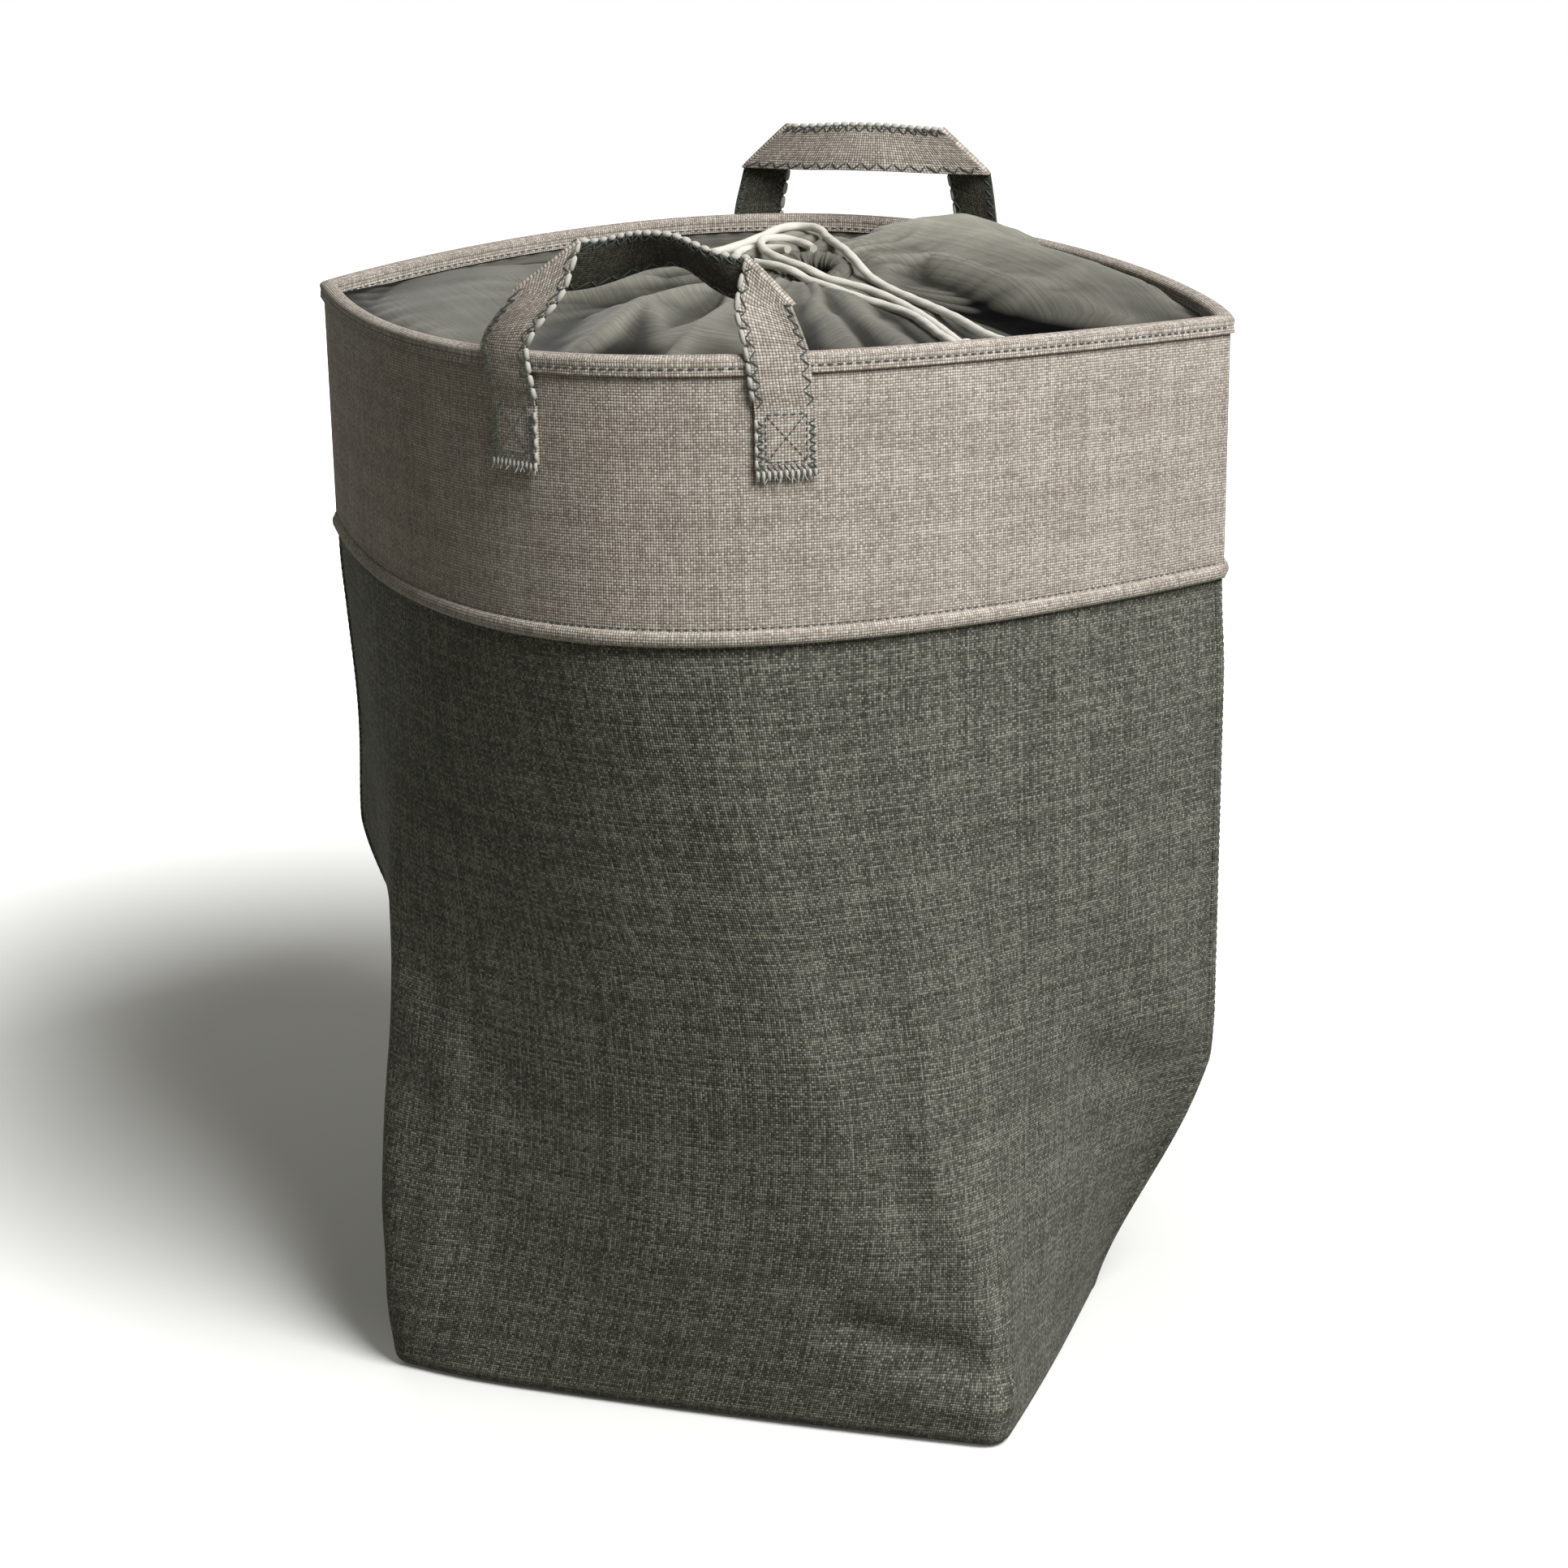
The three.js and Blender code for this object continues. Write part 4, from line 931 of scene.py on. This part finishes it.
def cover_height(x, y, turn, in_share):
    """The cloth's height at a place in millimetres, its turn round the mouth and share of the way to it."""
    crown = np.sin(math.pi * in_share)
    rise = (mouth_height - cover_seat) * in_share ** 3 + 0.0015 * crown
    rise = rise + gather_rise * crown * in_share * np.cos(cover_gathers * turn)
    wander = turn + 0.10 * np.sin(9 * in_share + 2 * turn)
    pleats = (np.abs(np.sin(19 * wander + 1.2 * np.sin(3 * turn))) ** 0.7 - 0.6) * 3.0
    fine = np.sin(43 * wander + 2.0 * np.sin(5 * turn)) * 0.7
    near = in_share ** 2.6 * (1 - smooth_step((in_share - 0.93) / 0.07))
    edge_tucks = np.sin(61 * turn + 3 * np.sin(4 * turn)) * 0.8 * (1 - smooth_step(in_share / 0.16))
    plain = (cover_seat + rise) * 1000
    for at_x, at_y, reach, depth in cover_hollows:
        plain = plain - depth * bump(np.hypot(x - at_x, y - at_y), 0, reach) * smooth_step(in_share / 0.3)
    height = plain
    for crest in cover_crests:
        height = soft_upper(height, tented(x, y, *crest), 0.7)
    ripple = 0.35 * np.sin(0.11 * x - 0.07 * y + 1.2) * np.sin(0.09 * y + 0.05 * x) * crown
    height = height + ripple + (pleats + fine) * near + edge_tucks * smooth_step(in_share / 0.02)
    ceiling = np.full(x.shape, 1000.0)
    support = np.full(x.shape, -1000.0)
    for route in cord_routes.values():
        for start, end in zip(route[:-1], route[1:]):
            distance, _, middle = nearest_on(x, y, start, end)
            under = middle - cord_radius * 1000
            ceiling = np.minimum(ceiling, under + 0.1 + 0.8 * (distance - 1.4).clip(0))
            support = np.maximum(support, under - 0.2 - 0.35 * (np.hypot(distance, 3.0) - 3.0))
    height = soft_upper(height, np.minimum(support, height + 5.0), 0.5)
    height = -soft_upper(-height, -ceiling, 0.5)
    settled = smooth_step(in_share / 0.10) * (1 - smooth_step((in_share - 0.86) / 0.14))
    return (plain + (height - plain) * fold_strength * settled) / 1000


def mouth_points(turn, out, height):
    """Points by the tilted mouth, at a turn round it, a distance out and a height over its plane."""
    x, y = out * np.cos(turn), out * np.sin(turn)
    return np.stack([mouth_x + x, mouth_y + y * math.cos(mouth_tilt) - height * math.sin(mouth_tilt),
                     mouth_height + y * math.sin(mouth_tilt) + height * math.cos(mouth_tilt)], axis=-1)


cover_edge = wall_round(upper_liner_inner + seat_gap, cover_seat)[0]
cover_turn = np.arctan2(cover_edge[:, 1] - mouth_y, cover_edge[:, 0] - mouth_x)
cover_in = np.linspace(0, 1, cover_rows)[:, None]
cover_lip = mouth_points(cover_turn, mouth_radius + 2 * casing_radius + seat_gap, 0)
cover_top = cover_edge + (cover_lip - cover_edge) * cover_in[..., None]
cover_top[..., 2] = cover_height(cover_top[..., 0] * 1000, cover_top[..., 1] * 1000, cover_turn, cover_in)
cover_top[-1, :, 2] = cover_lip[:, 2]
cover_out = np.linalg.norm(cover_lip - cover_edge, axis=-1)
threads = np.stack(np.broadcast_arrays(round_run, cover_in * np.append(cover_out, cover_out[0])), axis=-1)
cover_piece = skin("gathered_cover", cover_top, cover_top - np.array([0, 0, cover_cloth]), threads,
                   liner_material, closed=True)
cover_mean = cover_top[..., 2]
for axis, reach in ((1, 9), (0, 7)):
    cover_mean = sum(np.roll(cover_mean, shift, axis) for shift in range(-reach, reach + 1)) / (2 * reach + 1)
# Painted light: painted shade where the cloth lies low and at a fold's foot, and a painted highlight where it
# stands high and on a fold's crest.
cover_painted_light = (np.interp(cover_top[..., 2] * 1000, painted_light_heights, painted_light_steps)
              + ((cover_top[..., 2] - cover_mean) * 1000 * painted_light_of_fold).clip(-0.45, 0.40))
cover_painted_light_layer = cover_piece.data.attributes.new("painted_fold_light", "FLOAT", "POINT")
cover_painted_light_layer.data.foreach_set("value", np.tile(cover_painted_light.ravel(), 2).astype(np.float32))
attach(cover_piece, "rim")
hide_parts("drawstring_cover")


# Casing: the hem that the cord runs in, drawn up into a tight ring of puckers round the mouth.
# The cord comes out of a slit at its back.
casing_turns = np.linspace(0, 2 * math.pi, 280, endpoint=False)
casing_slit = math.radians(32)
casing_sweep = casing_slit - math.pi / 2 + np.linspace(0, 2 * (math.pi - casing_slit), 26)
casing_puckers = 19
casing_cloth = 0.0013


def casing_grid(radius):
    turns, sweep = casing_turns, casing_sweep[:, None]
    pucker = np.abs(np.sin(casing_puckers / 2 * turns + 0.5 * np.sin(3 * turns))) ** 0.6
    depth = radius * (0.80 + 0.20 * pucker) + 0.0003 * np.sin(31 * turns + 2 * sweep)
    return mouth_points(turns + 0.05 * np.sin(2 * sweep + 5 * turns),
                        mouth_radius + casing_radius + depth * np.cos(sweep),
                        depth * np.sin(sweep) - cover_cloth / 2)


threads = thread_grid(np.linspace(0, 0.24, len(casing_turns) + 1), casing_sweep * casing_radius)
piece = skin("puckered_casing", casing_grid(casing_radius), casing_grid(casing_radius - casing_cloth),
             threads, liner_material, closed=True)
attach(piece, "rim")
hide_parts("drawstring_casing")


# Drawstring: one off-white braided cotton cord. Its middle runs in the casing, and its two tails
# come out at the back of the mouth, lie over the cover in loose loops, and end in knots.
knot_length = 0.010
knot_strand = 0.0021
knot_reach = 0.00215
route_steps = 10
cord_material, cord_tree, cord_shader = fresh_material("cotton_cord", Roughness=0.9, Sheen_Weight=0.15)
cord_weave = laid_cloth(cord_tree, plain_weave, math.radians(45), Pitch=0.0009, Waver=0.15)
cord_strands = cord_weave.outputs["Height"]
# Painted shade: the cord's colour darkens in the grooves between its strands, following the strands' height.
cord_colour_with_groove_shade = ramp(cord_tree, cord_strands, (0, (0.50, 0.46, 0.39)), (0.55, (0.83, 0.80, 0.73)))
cord_tree.links.new(cord_colour_with_groove_shade, cord_shader.inputs["Base Color"])
emboss(cord_tree, cord_shader, cord_strands, 0.6, 0.0003)


def smooth_route(points, steps):
    """A centripetal curve through the points."""
    ends = np.vstack([2 * points[0] - points[1], points, 2 * points[-1] - points[-2]])
    gaps = np.sqrt(np.linalg.norm(np.diff(ends, axis=0), axis=1))[:, None]
    a, b, c, d = ends[:-3], ends[1:-2], ends[2:-1], ends[3:]
    d1, d2, d3 = gaps[:-2], gaps[1:-1], gaps[2:]
    m1 = ((b - a) / d1 - (c - a) / (d1 + d2) + (c - b) / d2) * d2
    m2 = ((c - b) / d2 - (d - b) / (d2 + d3) + (d - c) / d3) * d2
    t = np.linspace(0, 1, steps, endpoint=False)[:, None, None]
    line = ((2 * t ** 3 - 3 * t ** 2 + 1) * b + (t ** 3 - 2 * t ** 2 + t) * m1
            + (-2 * t ** 3 + 3 * t ** 2) * c + (t ** 3 - t ** 2) * m2)
    return np.vstack([line.swapaxes(0, 1).reshape(-1, 3), points[-1:]])


def tube(name, line, radius, material, sides=16, ring=False, lobes=0, lobe_depth=0.0, lay_length=0.02):
    """A solid tube along a line, with its frame carried along without twist. Lobes give it laid strands."""
    before, after = (line[-1], line[0]) if ring else (2 * line[0] - line[1], 2 * line[-1] - line[-2])
    around = np.vstack([before, line, after])
    side = np.cross(around[2] - around[0], (0, 0, 1.0))
    run = run_along(np.vstack([line, line[:1]]))
    turns = np.linspace(0, 2 * math.pi, sides, endpoint=False)[:, None]
    points = []
    for middle, along, place in zip(line, around[2:] - around[:-2], run):
        along = along / np.linalg.norm(along)
        side = side - along * side.dot(along)
        side = side / np.linalg.norm(side)
        thick = radius * (1 + lobe_depth * np.cos(lobes * turns + 2 * math.pi * place / lay_length))
        points.append(middle + thick * (np.cos(turns) * side + np.sin(turns) * np.cross(along, side)))
    points = np.array(points).reshape(-1, 3)
    grid = np.arange(len(points)).reshape(-1, sides)
    grid = np.concatenate([grid, grid[:, :1]], axis=1)
    if ring:
        grid = np.concatenate([grid, grid[:1]])
    faces = cells(grid).tolist()
    if not ring:
        first, last = grid[0].tolist(), grid[-1].tolist()
        faces += [[b, a, len(points)] for a, b in zip(first, first[1:])]
        faces += [[a, b, len(points) + 1] for a, b in zip(last, last[1:])]
        points = np.vstack([points, line[0], line[-1]])
    threads = thread_grid(np.linspace(0, 2 * math.pi * cord_radius, sides + 1), run[:len(grid)])
    return add_piece(name, points, faces, material, cells(threads), 60)


piece = tube("cord_ring", mouth_points(casing_turns[::2], mouth_radius + casing_radius, -cover_cloth / 2),
             cord_radius, cord_material, ring=True)
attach(piece, "rim")
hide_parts("cord_in_casing")


def tie_knot(name, line):
    """An overhand knot at the end of a tail, pulled tight."""
    along = line[-1] - line[-3]
    along = along / np.linalg.norm(along)
    side = np.cross(along, (0, 0, 1.0))
    side = side / np.linalg.norm(side)
    t = np.linspace(0, 2 * math.pi, 120, endpoint=False)[:, None]
    reach = knot_reach + 0.00055 * np.cos(3 * t)
    path = (line[-1] + reach * np.cos(2 * t) * side + reach * np.sin(2 * t) * np.cross(side, along)
            + (knot_length / 2 + 0.0004 + 0.0026 * np.sin(3 * t)) * along)
    return tube(name, path, knot_strand, cord_material, sides=14, ring=True)


for name, route in cord_routes.items():
    line = smooth_route(np.array(route) / 1000, route_steps)
    piece = tube(f"drawstring_{name}_tail", line, cord_radius, cord_material, sides=18, lobes=3,
                 lobe_depth=0.05, lay_length=0.016)
    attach(piece, "rim")
    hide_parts(f"cord_tail_{name}")
    knot = tie_knot(f"drawstring_{name}_knot", line)
    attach(knot, "rim")
    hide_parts(f"cord_knot_{name}")


# Handles: a flat strap of the band cloth on dark twill webbing. Both legs are sewn to the band, and
# at each top corner the strap is folded over inwards at 45 degrees, so its top run shows the webbing.
strap_width = 0.025
strap_ply = 0.001
leg_spacing = 0.127
leg_rise = 0.027
tab_height = 0.034
tab_drop = 0.060
strap_thickness = 2 * strap_ply + seat_gap
strap_seat = 0.0006
binding_stand = binding_cloth + seat_gap
binding_step_up = 0.004
corner_roll = 0.0016
handle_lean = 0.12
corner_height = rim_height + leg_rise
zigzag_step = 0.0038
thread_thick = 0.00040
thread_sunk = 0.0001
crossing_thread = 0.00042
bead_radius = 0.0015
bead_step = 0.0062
across_strap = np.linspace(0, 1, 9)
edge_rounding = np.abs(2 * across_strap - 1) ** 6

# Each handle's side, its shift to the right, how far its top run tips over, how its legs bend in
# (heights, and how far the left and right one do), and how far its two corners sag (millimetres)
handles = {
    "front": {"side": FRONT, "shift": 0.0085, "tilt": math.radians(47),
              "slouch": ([526, 540, 550, 557, 577, 602], [0, -2, -3.5, -0.5, 14, 20], [0, 1.5, 2.5, 4, 9, 6]),
              "sag": (4.5, 10.5)},
    "rear": {"side": REAR, "shift": 0.003, "tilt": math.radians(12),
             "slouch": ([526, 540, 550, 557, 577, 602], [0, 0, 0, 1, 6, 9], [0, 0, 0, 1, 4, 6]),
             "sag": (1.5, 1.5)},
}

# The webbing's colours are its own dark tone lowered by about a third more, so that the shaded inner face of
# the top run reads dark. This is partly painted shade.
webbing_material = woven_material("strap_webbing", 0.0011, 0.2, 14.0,
                                  ((0.036, 0.036, 0.028), (0.064, 0.063, 0.049), (0.110, 0.108, 0.086)),
                                  0.55, 1.25, 0.0004, 0.05)
bead_material = woven_material("overlock_thread", 0.0006, 0.2, 8.0,
                               ((0.50, 0.475, 0.42), (0.62, 0.595, 0.54), (0.72, 0.70, 0.645)),
                               0.75, 1.12, 0.0002, 0.1)


def band_reach(side, x):
    return rim_depth[side] * np.maximum(0, 1 - (x / rim_half_width) ** 2) ** rim_fullness[side]


def strap_reach(handle, x, stand):
    side = handle["side"]
    slope = (band_reach(side, x + strap_width / 2) - band_reach(side, x - strap_width / 2)) / strap_width
    return band_reach(side, x) + (stand + strap_seat + strap_thickness / 2) * np.hypot(1, slope)


def handle_plane(handle, x, height):
    """The leaning plane through both legs where they leave the binding."""
    left, right = (strap_reach(handle, handle["shift"] + end * leg_spacing / 2, binding_stand)
                   for end in (-1, 1))
    across = (x - handle["shift"]) / leg_spacing + 0.5
    return left + (right - left) * across - handle_lean * (height - rim_height)


def strap_x(handle, end, along=0):
    """Where the points across a leg lie, and those of the top run when it is some share along."""
    return handle["shift"] + end * (leg_spacing / 2 + strap_width * (0.5 - across_strap)) * (1 - along)


def leg_row(handle, end, outer_height, inner_height, free, stand):
    x = strap_x(handle, end)
    height = outer_height + (inner_height - outer_height) * across_strap
    seated = strap_reach(handle, x, stand)
    reach = seated + (handle_plane(handle, x, height) - seated) * free
    return np.stack([x, handle["side"] * reach, height], axis=-1)


def half_loop(handle, end):
    """Rows of points across the strap, from the foot of one leg to the middle of the top run."""
    side = handle["side"]
    foot = rim_height - tab_drop + tab_height + seat_gap
    step_foot = rim_height - binding_height - binding_step_up
    rows = []
    for height in np.linspace(foot, step_foot, 4):
        stand = binding_stand * smooth_step((height - foot) / (step_foot - foot))
        rows.append(leg_row(handle, end, height, height, 0, stand))
    for height in np.linspace(step_foot, rim_height, 5)[1:]:
        rows.append(leg_row(handle, end, height, height, 0, binding_stand))
    for climbed in np.linspace(0, 1, 13)[1:]:
        outer, inner = (rim_height + up * climbed for up in (leg_rise, leg_rise + strap_width))
        rows.append(leg_row(handle, end, outer, inner, smooth_step(climbed), binding_stand))
    crease = rows[-1]
    fullness = np.linspace(0.15, 0.7, len(across_strap))[:, None]
    for turn in np.linspace(0, math.pi, 11)[1:]:
        bulge = corner_roll * math.sin(turn) * math.sqrt(0.5) * fullness
        inward = corner_roll * (1 - math.cos(turn))
        rows.append(crease + bulge * np.array([end, 0, 1]) - np.array([0, side * inward, 0]))
    top = corner_height + strap_width
    down = strap_width * (1 - across_strap)
    for along in np.linspace(0, 1, 23)[1:]:
        tilt = handle["tilt"] * smooth_step(along)
        x = strap_x(handle, end, along)
        reach = handle_plane(handle, x, top) - 2 * corner_roll
        y = reach - down * math.sin(tilt) + handle_lean * down * (1 - along)
        rows.append(np.stack([x, side * y, top - down * math.cos(tilt)], axis=-1))
    return np.array(rows)


def slouched(handle, rows):
    """The loop as it hangs: its corners drawn in and its top sagging to the right."""
    x, height = rows[..., 0] * 1000, rows[..., 2] * 1000
    levels, left_in, right_in = handle["slouch"]
    left_sag, right_sag = handle["sag"]
    rise = np.interp(height, [550, 557, 577, 602], [0, 0.12, 0.72, 1])
    moved = rows.copy()
    moved[..., 0] += (np.interp(height, levels, left_in) * smooth_step((42 - x) / 84)
                      - np.interp(height, levels, right_in) * smooth_step((x - 8) / 52)) / 1000
    moved[..., 2] -= (left_sag * smooth_step((-8 - x) / 34)
                      + right_sag * smooth_step((x - 6) / 54)) * rise ** 2 / 1000
    return moved


def strap_of(rows, facing):
    """A strap: its rows of points, the way out on the face that its legs show, and the run along it."""
    out = facing * np.cross(np.gradient(rows, axis=1), np.gradient(rows, axis=0))
    return rows, out / np.linalg.norm(out, axis=-1, keepdims=True), run_along(rows[:, len(across_strap) // 2])


def on_strap(strap, place, across, lift):
    """A point over the strap's middle surface, at a run along it and a share across it."""
    rows, normals, run = strap
    k = np.interp(place, run, np.arange(len(run)))
    c = across * (len(across_strap) - 1)
    low, left = min(int(k), len(run) - 2), min(int(c), len(across_strap) - 2)

    def at(grid):
        near, far = (row[left] * (1 - c + left) + row[left + 1] * (c - left) for row in grid[low:low + 2])
        return near * (1 - k + low) + far * (k - low)

    out = at(normals)
    return at(rows) + out / np.linalg.norm(out) * lift, out


def stitch_on(strap, start, end, lift, end_lift=None):
    """A stitch between two places on a strap, each a run and a share across, and the way out of it."""
    first, out = on_strap(strap, *start, lift)
    second, _ = on_strap(strap, *end, lift if end_lift is None else end_lift)
    return first, second, out


def zigzag(strap, low, high, lift):
    """A zigzag of slanted stitches between two shares across the strap."""
    facing = 1 if lift > 0 else -1
    stitches = []
    place = 0.002
    while place + zigzag_step < strap[2][-1] - 0.002:
        first, second, out = stitch_on(strap, (place, low), (place + zigzag_step, high), lift)
        stitches.append((first, second, out * facing))
        place, low, high = place + zigzag_step, high, low
    return stitches


for name, handle in handles.items():
    loop = np.concatenate([half_loop(handle, -1), half_loop(handle, 1)[::-1][1:]])
    strap = strap_of(slouched(handle, loop), -handle["side"])
    rows, normals, run = strap
    gap = seat_gap / 2
    body = f"{name}_handle"
    threads = thread_grid(across_strap * strap_width, run)
    for part, facing, slot, material in (("cloth", 1, "band_cloth", band_material),
                                         ("webbing", -1, "strap_webbing", webbing_material)):
        stand = facing * (gap + strap_ply - 0.0003 * edge_rounding)
        piece = skin(f"{body}_{part}_strip", rows + normals * stand[:, None], rows + normals * facing * gap,
                     threads, material, sharp=60)
        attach(piece, body)
        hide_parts(f"{body}_{part}")
    lift = gap + strap_ply - thread_sunk
    stitches = []
    for low, high in ((0.02, 0.17), (0.83, 0.97)):
        stitches += zigzag(strap, low, high, lift) + zigzag(strap, low, high, -lift)
    piece = sew(f"{body}_zigzag", stitches, thread_thick, thread_material)
    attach(piece, body)
    beads, crossings = [], []
    for place in np.arange(0.003, run[-1] - 0.006, bead_step):
        first, second, out = stitch_on(strap, (place, 1.0), (place + 0.0054, 1.0), 0.0)
        beads.append((first, second, out))
        for face in (lift, -lift):
            high, over, _ = stitch_on(strap, (place - 0.0004, 0.90), (place - 0.0004, 1.0), face, face * 1.1)
            crossings.append((high, over, out * face))
    piece = sew(f"{body}_overlock", beads, bead_radius, bead_material, sunk=0.0, arch=0.1)
    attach(piece, body)
    piece = sew(f"{body}_crossings", crossings, crossing_thread, thread_material)
    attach(piece, body)


# Strap ends: each leg goes on down as a flat tab, sewn to the band with a box and a cross. Its raw
# lower end is overlocked with pale thread over dark, with loose fibres.
frayed_height = 0.0072
box_stitch = 0.0030
end_beads = 11
end_bead_radius = 0.0010
fibre_radius = 0.00022
fibre_dice = np.random.default_rng(7)

for name, handle in handles.items():
    for end, hand in ((-1, "left"), (1, "right")):
        heights = rim_height - tab_drop + np.linspace(frayed_height, tab_height, 18)
        strap = strap_of(np.array([leg_row(handle, end, height, height, 0, 0) for height in heights]),
                         handle["side"] * end)
        rows, normals, run = strap
        half = strap_thickness / 2
        face = rows + normals * (half - 0.0004 * edge_rounding)[:, None]
        threads = thread_grid(across_strap * strap_width, run - 0.2)
        piece = skin(f"{name}_{hand}_sewn_end", face, rows - normals * half, threads, band_material, sharp=60)
        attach(piece, "rim")
        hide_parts(f"{name}_{hand}_tab")
        lift = half - thread_sunk
        stitches, beads, fibres = [], [], []
        low, high, left, right = 0.0045, run[-1] - 0.0006, 0.17, 0.83
        corners = np.array([(low, left), (low, right), (high, right), (high, left)])
        for start, stop in ((0, 1), (1, 2), (2, 3), (3, 0), (0, 2), (1, 3)):
            way = corners[stop] - corners[start]
            count = max(2, round(math.hypot(way[0], way[1] * strap_width) / box_stitch))
            for k in range(count):
                stitches.append(stitch_on(strap, corners[start] + way * k / count,
                                          corners[start] + way * (k + 0.78) / count, lift))
        for place in np.arange(0.0006, run[-1] - 0.004, zigzag_step):
            for low, high in ((0.02, 0.14), (0.98, 0.86)):
                first, middle, out = stitch_on(strap, (place, low), (place + zigzag_step / 2, high), lift)
                last, _ = on_strap(strap, place + zigzag_step, low, lift)
                stitches += [(first, middle, out), (middle, last, out)]
        for across in np.linspace(0.03, 0.97, end_beads):
            foot, out = on_strap(strap, 0.0, across, lift * 0.6)
            drop = np.array([0, 0, -0.0030 - 0.0018 * fibre_dice.random()])
            beads.append((foot + np.array([0, 0, 0.0012]), foot + drop, out))
            first, second, _ = stitch_on(strap, (0.0, max(0.0, across - 0.045)),
                                         (0.0036, min(1.0, across + 0.045)), lift)
            stitches += [(first, second, out), (first, first + np.array([0, 0, -0.003]), out)]
            for _ in range(2):
                lean = np.array([*(fibre_dice.random(2) - 0.5) * 0.004, 0.0])
                fibres.append((foot + drop * 0.4, foot + drop * 1.25 + lean + out * 0.0006, out))
        for place in np.arange(0.001, run[-1] - 0.005, bead_step):
            beads.append(stitch_on(strap, (place, 0.985), (place + 0.0050, 0.985), lift * 0.4))
        for part, drawn, radius, material in (("stitching", stitches, thread_thick, thread_material),
                                              ("overlock", beads, end_bead_radius, bead_material),
                                              ("fibres", fibres, fibre_radius, bead_material)):
            piece = sew(f"{name}_{hand}_end_{part}", drawn, radius, material)
            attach(piece, "rim")
